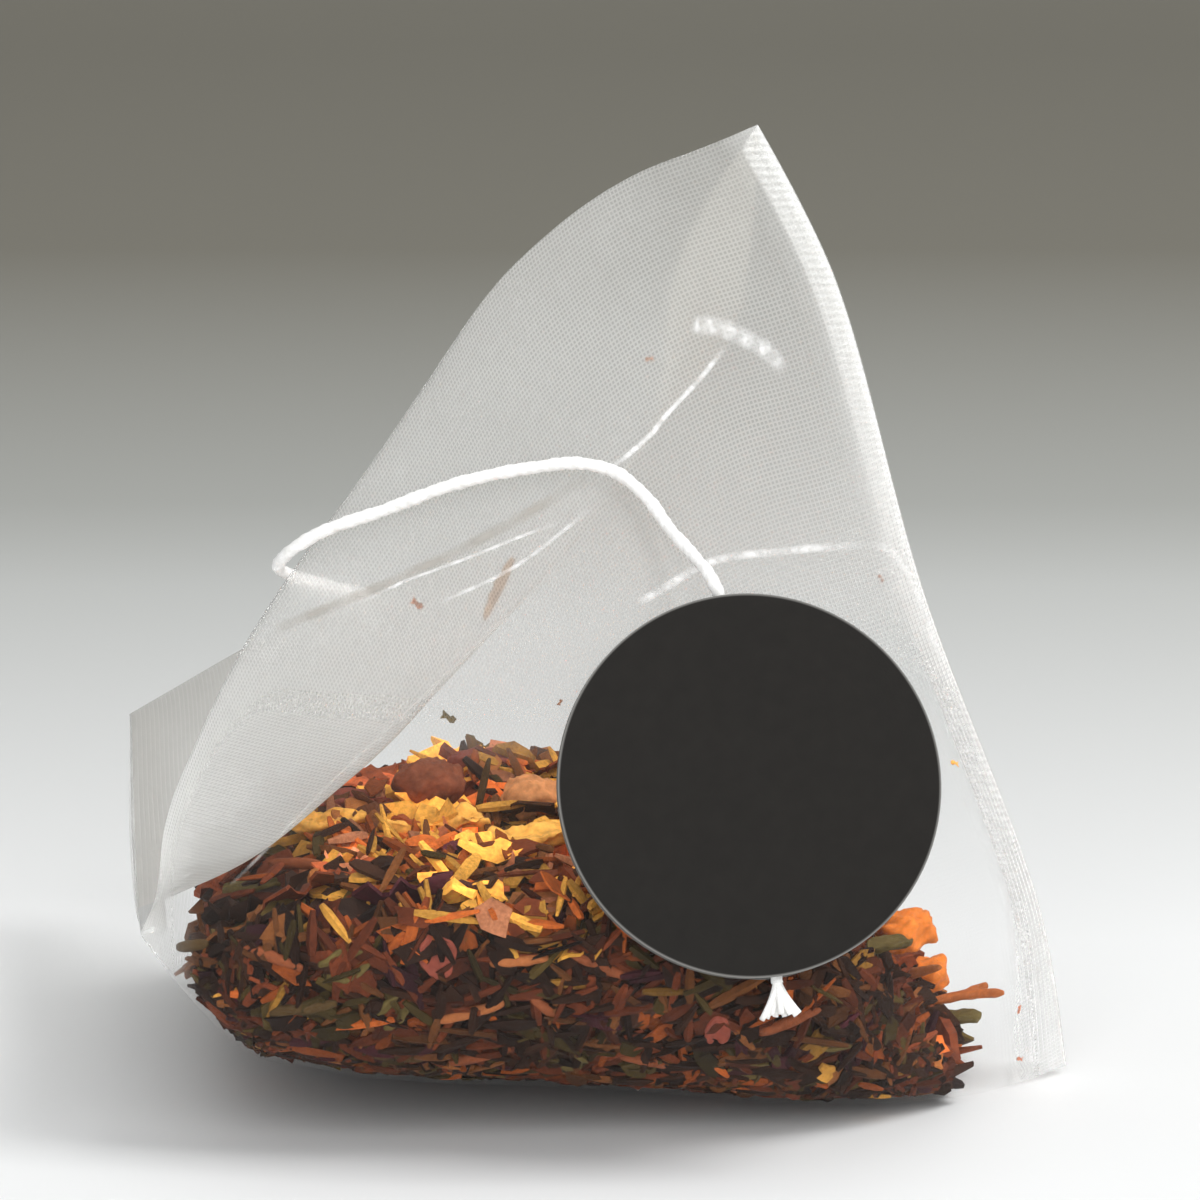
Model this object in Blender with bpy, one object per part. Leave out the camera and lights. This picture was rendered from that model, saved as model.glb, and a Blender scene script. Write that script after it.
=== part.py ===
"""Pyramid tea bag: a woven pouch sealed along two crossed edges, loose tea, and a round tag on a thread.

The pouch is one film tube. It is sealed flat along the right edge, from the apex down to the right toe,
and sealed again along the left edge, which runs from front to back. Its left face is tucked in between
two soft folds. All sizes are metres, +Z is up, and the bag rests on z = 0 with its box centred on x = y = 0.
"""
import itertools
import math

import bmesh
import bpy
import numpy as np
from mathutils import Matrix, Vector
from mathutils.bvhtree import BVHTree

MM = 0.001

# Driving dimensions of the pouch
BAG_WIDTH = 0.063
BAG_DEPTH = 0.062
BAG_HEIGHT = 0.0613
FILM_WALL = 0.00016
SEAL_BAND = 0.0017
TUBE_LENGTH = 0.066

# Weave windows cut through the film
WINDOW = 0.0010
WINDOW_LIMIT = 112

# Clearance that touching pieces keep
GAP = 0.0003

# Loose tea
HEAP_TOP = 0.0155
HEAP_ROUGHNESS = 0.0006
HEAP_CELL = 0.0029
FRONT_POCKET = 0.0021

# Tag: two bonded paper discs with the thread along their diameter
TAG_DIAMETER = 0.0235
TAG_PAPER = 0.0003
TAG_LEAN = math.radians(18.0)
TAG_TURN = math.radians(6.0)
TAG_ROLL = math.radians(6.5)
TAG_X = 0.0104
TAG_Z = 0.0239

# Thread, and the half width of the channel that it has between the tag's papers
THREAD_DIAMETER = 0.00078
CHANNEL_HALF = 0.5 * THREAD_DIAMETER + 1.2 * GAP
TAIL_LENGTH = 0.0022
TAIL_FLARE = 0.7

# Sampling of the film: columns for each span between guides, and rows along the tube
SPAN_COLUMNS = 3
FILM_ROWS = 21
MERGE = 0.00003

# The two seals: (share of the seal, x, y, z), with x, y and z in hundredths of the bag's box
RIGHT_SEAL = [(0, 18, -8, 100), (.12, 24, -9.5, 89), (.22, 27, -11, 80), (.33, 29.5, -13, 69),
              (.45, 32.5, -14.5, 57.5), (.53, 36, -16, 49.5), (.66, 41, -17.5, 37), (.92, 48.8, -14, 9.5),
              (1, 49.9, -11, 1)]
LEFT_SEAL = [(0, -42.8, -43.5, 23), (.33, -45.6, -14.5, 22), (.66, -47.9, 18, 23), (1, -49.7, 49.7, 25.5)]

# Lines that run along the film from the right seal to the left seal, in order around the tube:
# (share of the right seal, share of the left seal, fold sharpness, points at shares of the tube's length)
GUIDES = {
    "front_left_fold": (0, 0, .55, [
        (.06, 12, -9.5, 97.5), (.12, 5.5, -11, 95), (.25, -6, -17.5, 87.5), (.4, -15, -24, 75.5),
        (.6, -27.5, -30.5, 58.5), (.8, -37.5, -37, 41.5), (.9, -40.5, -41, 33), (.96, -41.3, -43.5, 26.5)]),
    "front_upper": (.167, 0, 1, [(.25, 0, -26, 74), (.5, -16.5, -35.5, 58), (.75, -33, -40, 40)]),
    "front_middle": (.5, 0, 1, [(.25, 10.5, -40, 48.5), (.5, -9, -46.5, 40), (.75, -29.5, -46.5, 29.5)]),
    "front_lower": (.833, 0, 1, [(.25, 21, -45, 21.5), (.5, -1.5, -49.8, 20), (.75, -26, -49, 17.5)]),
    "front_toe": (1, 0, .9, [
        (.06, 42.5, -19.5, 1), (.16, 36, -27.5, 2), (.28, 27, -34, 3.3), (.5, 2, -40, 6.8),
        (.75, -26.5, -43.5, 10), (.83, -33, -45, 13), (.92, -38.5, -45, 18)]),
    "base_front": (1, .08, 1, [
        (.25, 26.5, -22, .6), (.5, 1.5, -24, 2.6), (.75, -25, -32, 6), (.9, -35, -37, 11)]),
    "base_middle": (1, .16, 1, [(.25, 26, -8, 0), (.5, .5, -4, 0), (.75, -25.5, -5, 1), (.9, -38, -19, 10)]),
    "base_back": (1, .58, 1, [
        (.25, 26, 3, 0), (.5, 1.5, 14.5, .4), (.75, -24, 22.5, 4), (.9, -39, 21, 10.5)]),
    "back_toe": (1, 1, .9, [(.25, 26, 10.5, 4.8), (.5, 1.5, 27.5, 9), (.75, -23, 40, 15.5)]),
    "back_lower": (.833, 1, 1, [(.25, 25, 14.5, 14.5), (.5, 1.5, 33, 15.5), (.75, -23, 43.5, 19.5)]),
    "back_middle": (.5, 1, 1, [(.25, 21, 15.5, 40.5), (.5, -1, 32.5, 31.5), (.75, -25, 43.5, 27.5)]),
    "back_upper": (.167, 1, 1, [(.25, 16.5, 5, 63.5), (.5, -3.5, 22, 47), (.75, -26.5, 38, 36)]),
    "tuck_ridge": (0, 1, .45, [
        (.19, 15, -6.5, 77.5), (.26, 12.5, -1.5, 73), (.36, 6, 5, 64), (.52, -6.5, 14.5, 54),
        (.63, -16, 22.5, 48), (.76, -27, 30.5, 42), (.9, -37.5, 40, 34.5)]),
    "tuck_back": (0, .58, 1, ("tuck_ridge", "tuck_valley")),
    "tuck_valley": (0, .16, .45, [
        (.2, 9.5, -9, 83), (.3, 8.5, -9, 72.5), (.45, 4, -9.5, 62.5), (.55, -3, -13, 54.5),
        (.69, -13, -17.5, 43.5), (.82, -23.5, -26, 34.5), (.92, -33.5, -35, 28)]),
    "tuck_front": (0, .08, 1, ("tuck_valley", "front_left_fold")),
}

# Thread centre line in millimetres, chosen by hand, from its weld behind the left fold to the tag's top edge
THREAD_ROUTE = [
    (-13.4, -15.0, 33.0), (-14.8, -15.9, 33.5), (-16.2, -16.9, 34.1), (-17.7, -17.9, 34.7),
    (-18.6, -19.1, 35.5), (-18.0, -20.3, 36.6), (-16.4, -20.5, 37.7), (-12.0, -20.2, 39.3),
    (-7.7, -20.2, 40.9), (-2.8, -19.9, 41.9), (0.1, -19.6, 42.1), (2.3, -19.5, 41.5),
    (4.0, -20.1, 40.2), (5.6, -21.5, 38.3), (7.1, -23.3, 36.9), (8.0, -24.7, 36.0)]

# Kinds of tea piece: (form, colour, roughness)
KINDS = {
    "rooibos_needle": ("needle", (0.36, 0.13, 0.06), 0.75),
    "leaf_needle": ("needle", (0.20, 0.14, 0.05), 0.8),
    "stem_piece": ("needle", (0.52, 0.26, 0.12), 0.7),
    "forked_stem": ("fork", (0.62, 0.27, 0.10), 0.7),
    "green_leaf": ("flake", (0.24, 0.20, 0.08), 0.75),
    "dark_leaf": ("flake", (0.12, 0.06, 0.04), 0.8),
    "orange_peel": ("flake", (0.80, 0.42, 0.10), 0.6),
    "petal": ("flake", (0.42, 0.14, 0.14), 0.65),
    "apple_piece": ("chunk", (0.70, 0.40, 0.22), 0.6),
    "mango_piece": ("chunk", (0.86, 0.38, 0.10), 0.5),
    "berry_piece": ("chunk", (0.30, 0.08, 0.06), 0.6),
}

# Pieces that lie on the heap, lowest first: (kind, x, y, yaw, pitch, length, width), millimetres and degrees
TOP_PIECES = [
    ("green_leaf", 24.0, -10.4, -20, 4, 3.4, 2.4),
    ("stem_piece", 21.4, -14.6, -50, 20, 4.4, 0.8),
    ("green_leaf", 19.6, -15.4, 35, 6, 3.2, 2.4),
    ("berry_piece", 16.0, -7.0, 10, 0, 4.2, 3.4),
    ("mango_piece", 20.6, -11.6, 0, 12, 4.2, 3.8),
    ("forked_stem", 24.6, -9.0, 18, 6, 5.0, 0.7),
    ("mango_piece", 22.4, -7.2, 70, 10, 3.6, 3.0),
    ("apple_piece", 18.4, -8.8, 30, 0, 3.4, 3.0),
    ("petal", -15.2, -1.0, 8, 4, 6.0, 4.0),
    ("berry_piece", -9.8, -0.5, 0, 0, 5.2, 4.0),
    ("apple_piece", -3.2, -2.8, 0, 0, 4.6, 4.0),
    ("orange_peel", -15.8, -8.4, 12, 4, 5.2, 3.8),
    ("orange_peel", -9.4, -8.6, -6, 4, 7.2, 4.4),
    ("orange_peel", -2.4, -14.4, 12, 6, 6.6, 4.2),
    ("stem_piece", -13.4, -14.4, 62, 4, 4.4, 0.8),
    ("stem_piece", -10.2, -15.2, -48, 4, 4.6, 0.8),
    ("leaf_needle", -6.2, -4.6, 0, 78, 4.2, 0.6),
    ("green_leaf", -20.6, -16.6, 14, 4, 3.6, 2.2),
    ("dark_leaf", -19.8, -3.0, -30, 0, 4.0, 2.4),
    ("rooibos_needle", -17.6, -15.8, -25, 3, 4.4, 0.9),
    ("leaf_needle", -6.0, -18.4, 20, 3, 4.8, 0.8),
    ("apple_piece", 4.4, -6.2, 40, 0, 4.4, 3.6),
    ("petal", 3.6, -13.2, -20, 4, 5.0, 3.4),
    ("orange_peel", 9.8, -10.0, 30, 4, 5.6, 3.8),
    ("rooibos_needle", 0.4, 1.0, 35, 3, 5.0, 0.9),
    ("leaf_needle", 8.6, -3.4, -15, 3, 4.8, 0.8),
    ("rooibos_needle", -22.6, -11.4, 70, 3, 4.0, 0.9),
    ("leaf_needle", -14.6, 6.4, 30, 2, 4.8, 0.9),
    ("petal", -6.4, 7.4, -15, 3, 4.6, 3.2),
]

# Pieces that show against the front film: (kind, x, z, roll, length, width), millimetres and degrees
FRONT_PIECES = [
    ("petal", -5.0, 35.3, 65, 4.6, 1.4),
    ("leaf_needle", -24.0, 13.6, 10, 2.2, 0.9),
    ("rooibos_needle", -19.2, 13.4, 160, 4.6, 0.9),
    ("green_leaf", -14.4, 12.8, 20, 3.2, 2.2),
    ("petal", -8.6, 13.4, 100, 3.0, 2.2),
    ("stem_piece", -3.6, 13.2, 5, 3.6, 0.9),
    ("rooibos_needle", 1.2, 12.4, 150, 4.2, 0.9),
    ("leaf_needle", -17.0, 9.6, 15, 4.4, 0.9),
    ("green_leaf", -11.4, 9.4, 60, 3.0, 2.0),
    ("stem_piece", -6.6, 9.4, 18, 4.4, 0.9),
    ("rooibos_needle", -1.6, 9.0, 130, 4.0, 0.9),
    ("dark_leaf", 3.4, 8.8, 30, 3.0, 2.0),
    ("petal", 8.6, 7.6, 85, 2.4, 1.6),
    ("rooibos_needle", 13.4, 8.0, 10, 4.2, 0.9),
    ("leaf_needle", -11.4, 5.6, 170, 4.2, 0.9),
    ("rooibos_needle", -6.0, 5.6, 25, 4.4, 0.9),
    ("green_leaf", -0.8, 5.2, 150, 3.2, 2.0),
    ("rooibos_needle", 4.4, 5.0, 160, 4.2, 0.9),
    ("green_leaf", 10.6, 4.2, 10, 2.6, 2.0),
    ("green_leaf", 16.0, 4.6, 5, 2.8, 2.0),
]


def material(name, colour, roughness, alpha=1.0):
    """A Principled material with the piece's plain colour."""
    mat = bpy.data.materials.new(name)
    mat.use_nodes = True
    shader = mat.node_tree.nodes["Principled BSDF"]
    shader.inputs["Base Color"].default_value = (*colour, 1.0)
    shader.inputs["Roughness"].default_value = roughness
    shader.inputs["Metallic"].default_value = 0.0
    shader.inputs["Alpha"].default_value = alpha
    return mat


def solid(vertices, faces, merge):
    """A bmesh of points and faces, with points nearer than a distance merged and faces turned outwards."""
    bm = bmesh.new()
    points = [bm.verts.new(tuple(p)) for p in vertices]
    for face in faces:
        bm.faces.new([points[i] for i in face])
    bmesh.ops.remove_doubles(bm, verts=bm.verts, dist=merge)
    bmesh.ops.recalc_face_normals(bm, faces=bm.faces)
    if bm.calc_volume(signed=True) < 0:
        bmesh.ops.reverse_faces(bm, faces=bm.faces)
    bm.normal_update()
    return bm


def add_object(name, vertices, faces, mat=None):
    """A smooth-shaded mesh object made of points and faces."""
    mesh = bpy.data.meshes.new(name)
    bm = solid(vertices, faces, MERGE)
    bm.to_mesh(mesh)
    bm.free()
    mesh.shade_smooth()
    mesh.set_sharp_from_angle(angle=math.radians(50.0))
    if mat:
        mesh.materials.append(mat)
    obj = bpy.data.objects.new(name, mesh)
    bpy.context.collection.objects.link(obj)
    return obj


def as_helper(obj):
    """Show a guide or cutter as wire only, and keep it out of renders."""
    obj.hide_render = True
    obj.display_type = "WIRE"


def hermite(start, end, start_tangent, end_tangent, t):
    """Cubic Hermite blend of two points and their tangents."""
    return ((2 * t**3 - 3 * t**2 + 1) * start + (t**3 - 2 * t**2 + t) * start_tangent
            + (3 * t**2 - 2 * t**3) * end + (t**3 - t**2) * end_tangent)


def smooth_curve(knots, points, at):
    """Cubic curve through points at rising knots; each tangent is that of the parabola through three points."""
    knots = np.asarray(knots, float)
    points = np.asarray(points, float)
    step = np.diff(knots)[:, None]
    slope = np.diff(points, axis=0) / step
    tangent = np.empty_like(points)
    tangent[1:-1] = (slope[:-1] * step[1:] + slope[1:] * step[:-1]) / (step[1:] + step[:-1])
    tangent[0] = 1.5 * slope[0] - 0.5 * tangent[1]
    tangent[-1] = 1.5 * slope[-1] - 0.5 * tangent[-2]
    at = np.asarray(at, float)
    span = np.clip(np.searchsorted(knots, at, side="right") - 1, 0, len(knots) - 2)
    width = step[span]
    t = (at - knots[span])[:, None] / width
    return hermite(points[span], points[span + 1], tangent[span] * width, tangent[span + 1] * width, t)


def real_size(points):
    """Hundredths of the bag's box to metres."""
    return np.asarray(points, float) * np.array([BAG_WIDTH, BAG_DEPTH, BAG_HEIGHT]) / 100.0


def seal_point(seal, share):
    """The point at a share of a seal's length."""
    rows = np.array(seal, float)
    return smooth_curve(rows[:, 0], rows[:, 1:], [share])[0]


def guide_lines(shares):
    """Points of every guide at the given shares of the tube's length, and each guide's fold sharpness."""
    lines = {}
    for name, (right, left, _, rows) in GUIDES.items():
        if isinstance(rows, list):
            rows = np.array(rows, float)
            knots = np.concatenate(([0.0], rows[:, 0], [1.0]))
            points = np.vstack((seal_point(RIGHT_SEAL, right), rows[:, 1:], seal_point(LEFT_SEAL, left)))
            lines[name] = smooth_curve(knots, points, shares)
    for name, (_, _, _, rows) in GUIDES.items():
        if isinstance(rows, tuple):
            lines[name] = 0.5 * (lines[rows[0]] + lines[rows[1]])
    sharpness = np.array([guide[2] for guide in GUIDES.values()])
    return real_size(np.stack([lines[name] for name in GUIDES])), sharpness


def film_surface(shares):
    """Middle surface of the film, as an array [around, along, xyz].

    At each share of the tube's length a closed cubic runs through the guides. Its knots are spaced by the
    square root of the chord, and a fold's tangent is shortened so that the film turns sharply there.
    """
    guides, sharpness = guide_lines(shares)
    count = len(guides)
    ahead = np.roll(guides, -1, axis=0)
    behind = np.roll(guides, 1, axis=0)
    step = np.sqrt(np.linalg.norm(ahead - guides, axis=2, keepdims=True) + 1e-6)
    last = np.roll(step, 1, axis=0)
    slope = (ahead - guides) / step
    tangent = (slope * last + (guides - behind) / last * step) / (step + last)
    tangent = tangent * sharpness[:, None, None]
    rows = []
    for g in range(count):
        n = (g + 1) % count
        for k in range(SPAN_COLUMNS):
            t = k / SPAN_COLUMNS
            rows.append(hermite(guides[g], guides[n], tangent[g] * step[g], tangent[n] * step[g], t))
    surface = np.array(rows)
    surface[:, :, 2] = np.maximum(surface[:, :, 2], FILM_WALL / 2)
    return surface


def outward(surface):
    """Unit normals of the closed film surface, from central differences around and along it."""
    around = np.roll(surface, -1, axis=0) - np.roll(surface, 1, axis=0)
    along = np.gradient(surface, axis=1)
    normal = np.cross(around, along)
    normal /= np.linalg.norm(normal, axis=2, keepdims=True) + 1e-12
    centre = surface.mean(axis=(0, 1))
    if np.sum(normal * (surface - centre)) < 0:
        normal = -normal
    return normal


def end_cap(around, pivot, index):
    """Faces that zip a flattened ring shut, pairing columns at equal distance from the pivot column."""
    faces = []
    for k in range(around // 2):
        ring = [index((pivot + k) % around), index((pivot + k + 1) % around),
                index((pivot - k - 1) % around), index((pivot - k) % around)]
        faces.append(list(dict.fromkeys(ring)))
    return faces


def tube_faces(around, along, index, skip=()):
    """Quads over a closed grid of columns around and rows along, without the skipped cells."""
    return [[index(c, r), index((c + 1) % around, r), index((c + 1) % around, r + 1), index(c, r + 1)]
            for c in range(around) for r in range(along - 1) if (c, r) not in skip]


def closed_tube(around, along, index, skip=(), first=0):
    """A tube from the first column on, its right end zipped round the base and its left round the front."""
    faces = tube_faces(around, along, index, skip)
    faces += end_cap(around, 6 * SPAN_COLUMNS - first, lambda c: index(c, 0))
    faces += end_cap(around, 2 * SPAN_COLUMNS - first, lambda c: index(c, along - 1))
    return faces


def film_shares():
    """Rows along the tube: the welded edge, the inner line of the seal, and even steps between the seals."""
    band = SEAL_BAND / TUBE_LENGTH
    edge = 0.1 * band
    return np.concatenate(([edge], np.linspace(band, 1 - band, FILM_ROWS), [1 - edge]))


def window_cells(surface):
    """Cells of the film that carry a weave window: every third one above the tea, where there is room."""
    around, along = surface.shape[:2]
    chosen = []
    for r in range(3, along - 4):
        for c in range(around):
            width = np.linalg.norm(surface[(c + 1) % around, r] - surface[c, r])
            height = np.linalg.norm(surface[c, r + 1] - surface[c, r])
            clear = surface[c, r, 2] > HEAP_TOP + GAP
            if clear and (2 * c + r) % 3 == 0 and min(width, height) > 1.6 * WINDOW:
                chosen.append((c, r))
    return chosen[:WINDOW_LIMIT]


def mesh_bag():
    """The pouch: two skins a wall apart, joined round each window and closed at the seals."""
    surface = film_surface(film_shares())
    normal = outward(surface)
    around, along = surface.shape[:2]
    half = np.full(along, FILM_WALL / 2)
    half[0] = half[-1] = FILM_WALL
    outer = surface + normal * half[None, :, None]
    outer[:, :, 2] = np.where(outer[:, :, 2] < FILM_WALL / 4, 0.0, outer[:, :, 2])
    inner = surface - normal * (FILM_WALL / 2)
    inner[:, :, 2] = np.maximum(inner[:, :, 2], FILM_WALL)
    vertices = list(outer.reshape(-1, 3)) + list(inner.reshape(-1, 3))

    def out_index(c, r):
        return c * along + r

    def in_index(c, r):
        return (around + c) * along + r

    cells = window_cells(surface)
    faces = closed_tube(around, along, out_index, set(cells))
    faces += closed_tube(around, along - 2, lambda c, r: in_index(c, r + 1), {(c, r - 1) for c, r in cells})
    for c, r in cells:
        add_window(vertices, faces, outer, inner, c, r, out_index, in_index)
    nylon = material("nylon_mesh", (0.86, 0.86, 0.83), 0.45, alpha=0.35)
    return add_object("mesh_bag", vertices, faces, nylon)


def add_window(vertices, faces, outer, inner, c, r, out_index, in_index):
    """One square window through both skins of a cell, with a rim between them."""
    n = (c + 1) % outer.shape[0]
    rings = []
    for skin, index in ((outer, out_index), (inner, in_index)):
        corners = [skin[c, r], skin[n, r], skin[n, r + 1], skin[c, r + 1]]
        low_side = np.linalg.norm(corners[1] - corners[0])
        high_side = np.linalg.norm(corners[2] - corners[3])
        u = 0.5 * WINDOW / max(low_side, high_side)
        v = 0.5 * WINDOW / np.linalg.norm(corners[3] - corners[0])
        hole = []
        for s, t in ((0.5 - u, 0.5 - v), (0.5 + u, 0.5 - v), (0.5 + u, 0.5 + v), (0.5 - u, 0.5 + v)):
            hole.append(len(vertices))
            vertices.append(corners[0] * (1 - s) * (1 - t) + corners[1] * s * (1 - t)
                            + corners[2] * s * t + corners[3] * (1 - s) * t)
        edge = [index(c, r), index(n, r), index(n, r + 1), index(c, r + 1)]
        for k in range(4):
            faces.append([edge[k], edge[(k + 1) % 4], hole[(k + 1) % 4], hole[k]])
        rings.append(hole)
    for k in range(4):
        faces.append([rings[0][k], rings[0][(k + 1) % 4], rings[1][(k + 1) % 4], rings[1][k]])


def pouch_room():
    """A solid that fills the pouch below its tuck at a clearance, with a deeper pocket behind the front."""
    shares = np.linspace(0.13, 0.9, 14)
    surface = film_surface(shares)
    around, along = surface.shape[:2]
    spans = np.arange(around) / SPAN_COLUMNS
    front = np.clip(np.minimum(spans - 0.4, 4.6 - spans), 0, 1)
    middle = np.clip(np.minimum(shares - 0.13, 0.9 - shares) / 0.12, 0, 1)
    inset = FILM_WALL / 2 + 2 * GAP + FRONT_POCKET * front[:, None] * middle[None, :]
    room = surface - outward(surface) * inset[:, :, None]
    room = room[SPAN_COLUMNS:11 * SPAN_COLUMNS + 1]
    room[:, :, 2] = np.maximum(room[:, :, 2], FILM_WALL + GAP)
    faces = closed_tube(len(room), along, lambda c, r: c * along + r, first=SPAN_COLUMNS)
    return add_object("pouch_room", room.reshape(-1, 3), faces)


def heap_height(x, y):
    """Height of the loose tea: level and rough, falling away to the right toe and to both left corners."""
    u = np.asarray(x, float) / BAG_WIDTH
    w = np.asarray(y, float) / BAG_DEPTH
    right_fall = np.clip((u - 0.20) / 0.19, 0, 1) ** 1.3
    left_fall = np.clip((-0.24 - u) / 0.18, 0, 1)
    corner_fall = np.clip((w - 0.12 - 0.55 * np.clip(u + 0.30, 0, 1)) / 0.25, 0, 1)
    rough = (np.sin(30 * u + 1.3) * np.sin(33 * w + 0.4) + 0.7 * np.sin(71 * u - 38 * w)
             + 0.5 * np.cos(55 * u + 81 * w + 2.0))
    level = HEAP_TOP * (1 - 0.75 * corner_fall - 0.35 * left_fall * (1 - corner_fall))
    return (1 - right_fall) * (level + HEAP_ROUGHNESS * rough)


def heap_block():
    """A block from below the floor up to the heap's rough top, which trims the pouch room."""
    half_x = 0.5 * BAG_WIDTH + HEAP_CELL
    half_y = 0.5 * BAG_DEPTH + HEAP_CELL
    xs = np.linspace(-half_x, half_x, int(round(2 * half_x / HEAP_CELL)) + 1)
    ys = np.linspace(-half_y, half_y, int(round(2 * half_y / HEAP_CELL)) + 1)
    gx, gy = np.meshgrid(xs, ys, indexing="ij")
    top = np.stack((gx, gy, heap_height(gx, gy)), axis=2).reshape(-1, 3)
    bottom = top.copy()
    bottom[:, 2] = -0.25 * HEAP_TOP
    return add_object("heap_block", np.vstack((top, bottom)), plate_faces(len(xs), len(ys)))


def plate_faces(rows, columns):
    """Faces of a plate whose top grid of points is followed by its bottom grid."""
    count = rows * columns
    faces = []
    for i in range(rows - 1):
        for j in range(columns - 1):
            quad = [i * columns + j, (i + 1) * columns + j, (i + 1) * columns + j + 1, i * columns + j + 1]
            faces += [quad, [count + k for k in reversed(quad)]]
    rim = [i * columns for i in range(rows)] + [(rows - 1) * columns + j for j in range(1, columns)]
    rim += [i * columns + columns - 1 for i in range(rows - 2, -1, -1)] + list(range(columns - 2, 0, -1))
    for k, a in enumerate(rim):
        b = rim[(k + 1) % len(rim)]
        faces.append([a, count + a, count + b, b])
    return faces


def tea_heap():
    """The body of loose tea: the pouch room below the heap's top."""
    room = pouch_room()
    block = heap_block()
    heap = bpy.data.objects.new("tea_heap", room.data.copy())
    bpy.context.collection.objects.link(heap)
    heap.data.materials.append(material("loose_tea", (0.20, 0.09, 0.045), 0.8))
    trim = heap.modifiers.new("heap_top", "BOOLEAN")
    trim.operation = "INTERSECT"
    trim.object = block
    as_helper(room)
    as_helper(block)
    return heap


def needle(length, width, bend=0.05):
    """A leaf needle or stem piece: a six-sided rod along X that tapers to both ends and bends upwards."""
    stations = np.array([-0.5, -0.3, 0.0, 0.3, 0.5])
    radius = 0.5 * width * np.array([0.55, 0.9, 1.0, 0.85, 0.5])
    turn = np.arange(6) * math.pi / 3
    rings = []
    for s, r in zip(stations, radius):
        lift = bend * length * (0.25 - s * s)
        rings.append(np.stack((np.full(6, s * length), r * np.cos(turn), r * np.sin(turn) + lift), axis=1))
    faces = [[r * 6 + k, r * 6 + (k + 1) % 6, (r + 1) * 6 + (k + 1) % 6, (r + 1) * 6 + k]
             for r in range(4) for k in range(6)]
    faces += [list(range(6)), [24 + k for k in range(6)]]
    return np.vstack(rings), faces


def fork(length, width):
    """A stem piece that splits into two prongs: an outline in the XY plane given a thickness."""
    outline = np.array([(-.5, -.5), (.02, -.45), (.10, -.75), (.46, -2.1), (.5, -1.3), (.16, 0.1),
                        (.44, 1.5), (.40, 2.1), (.06, .95), (-.06, .5), (-.5, .45)])
    flat = outline * np.array([length, width])
    count = len(flat)
    top = np.column_stack((flat, np.full(count, 0.45 * width)))
    low = np.column_stack((flat * np.array([1, 0.92]), np.full(count, -0.45 * width)))
    faces = [[k, (k + 1) % count, count + (k + 1) % count, count + k] for k in range(count)]
    for half in ((0, 1, 2, 5, 8, 9, 10), (2, 3, 4, 5), (5, 6, 7, 8)):
        faces += [list(half), [count + k for k in reversed(half)]]
    return np.vstack((top, low)), faces


def flake(length, width, seed):
    """A leaf or peel flake: a thin plate with an uneven outline, curled about X and waved along it."""
    rng = np.random.default_rng(seed)
    rows, columns = 5, 4
    thickness = 0.12 * width + 0.00016
    s = np.linspace(-0.5, 0.5, rows)[:, None] * np.ones((1, columns))
    t = np.linspace(-0.5, 0.5, columns)[None, :] * np.ones((rows, 1))
    edge = 1.0 - 0.55 * (2 * np.abs(s)) ** 2.2 + 0.08 * rng.standard_normal((rows, 1))
    x = length * s * (1 + 0.06 * rng.standard_normal((rows, columns)))
    y = width * t * edge
    z = 0.18 * width * (4 * t * t - 0.3) + 0.02 * length * np.sin(7 * s + seed)
    top = np.stack((x, y, z + thickness / 2), axis=2).reshape(-1, 3)
    low = np.stack((x, y, z - thickness / 2), axis=2).reshape(-1, 3)
    return np.vstack((top, low)), plate_faces(rows, columns)


def chunk(length, width, seed):
    """A dried fruit piece: an uneven lump on rings of latitude, pinched and dented by sine waves."""
    rings, sides = 4, 8
    lat = math.pi * (np.arange(1, rings + 1) / (rings + 1) - 0.5)[:, None]
    lon = (2 * math.pi * np.arange(sides) / sides)[None, :]
    dent = 1 + 0.16 * np.sin(2 * lon + seed) * np.cos(3 * lat + seed) + 0.10 * np.sin(5 * lon - seed)
    reach = 0.5 * np.cos(lat) ** 0.7 * dent
    height = 0.5 * np.sin(lat) * np.ones_like(lon)
    band = np.stack((reach * np.cos(lon), reach * np.sin(lon), height), axis=2)
    points = np.vstack(([0, 0, -0.5], band.reshape(-1, 3), [0, 0, 0.5]))
    top = len(points) - 1
    faces = [[0, 1 + (k + 1) % sides, 1 + k] for k in range(sides)]
    for r in range(rings - 1):
        a = 1 + r * sides
        for k in range(sides):
            n = (k + 1) % sides
            faces.append([a + k, a + n, a + sides + n, a + sides + k])
    last = 1 + (rings - 1) * sides
    faces += [[last + k, last + (k + 1) % sides, top] for k in range(sides)]
    return points * np.array([length, width, 0.75 * width]), faces


def piece_form(kind, length, width, seed):
    """Points and faces of one tea piece about its own centre, in metres."""
    form = KINDS[kind][0]
    if form == "needle":
        return needle(length, width)
    if form == "fork":
        return fork(length, width)
    if form == "flake":
        return flake(length, width, seed)
    return chunk(length, width, seed)


def swollen(points, faces, margin):
    """The points moved out of their body by a margin."""
    bm = solid(points, faces, 0.0)
    bm.verts.ensure_lookup_table()
    normals = np.array([tuple(v.normal) for v in bm.verts])
    bm.free()
    return points + margin * normals


def polygon_tree(points, faces):
    """Search tree of an array of points and its faces."""
    return BVHTree.FromPolygons([Vector(p) for p in points], [list(f) for f in faces])


def blocked(points, faces, shift, obstacles):
    """Whether the shifted piece cuts any obstacle."""
    tree = polygon_tree(points + shift, faces)
    return any(tree.overlap(other) for other in obstacles)


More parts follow.
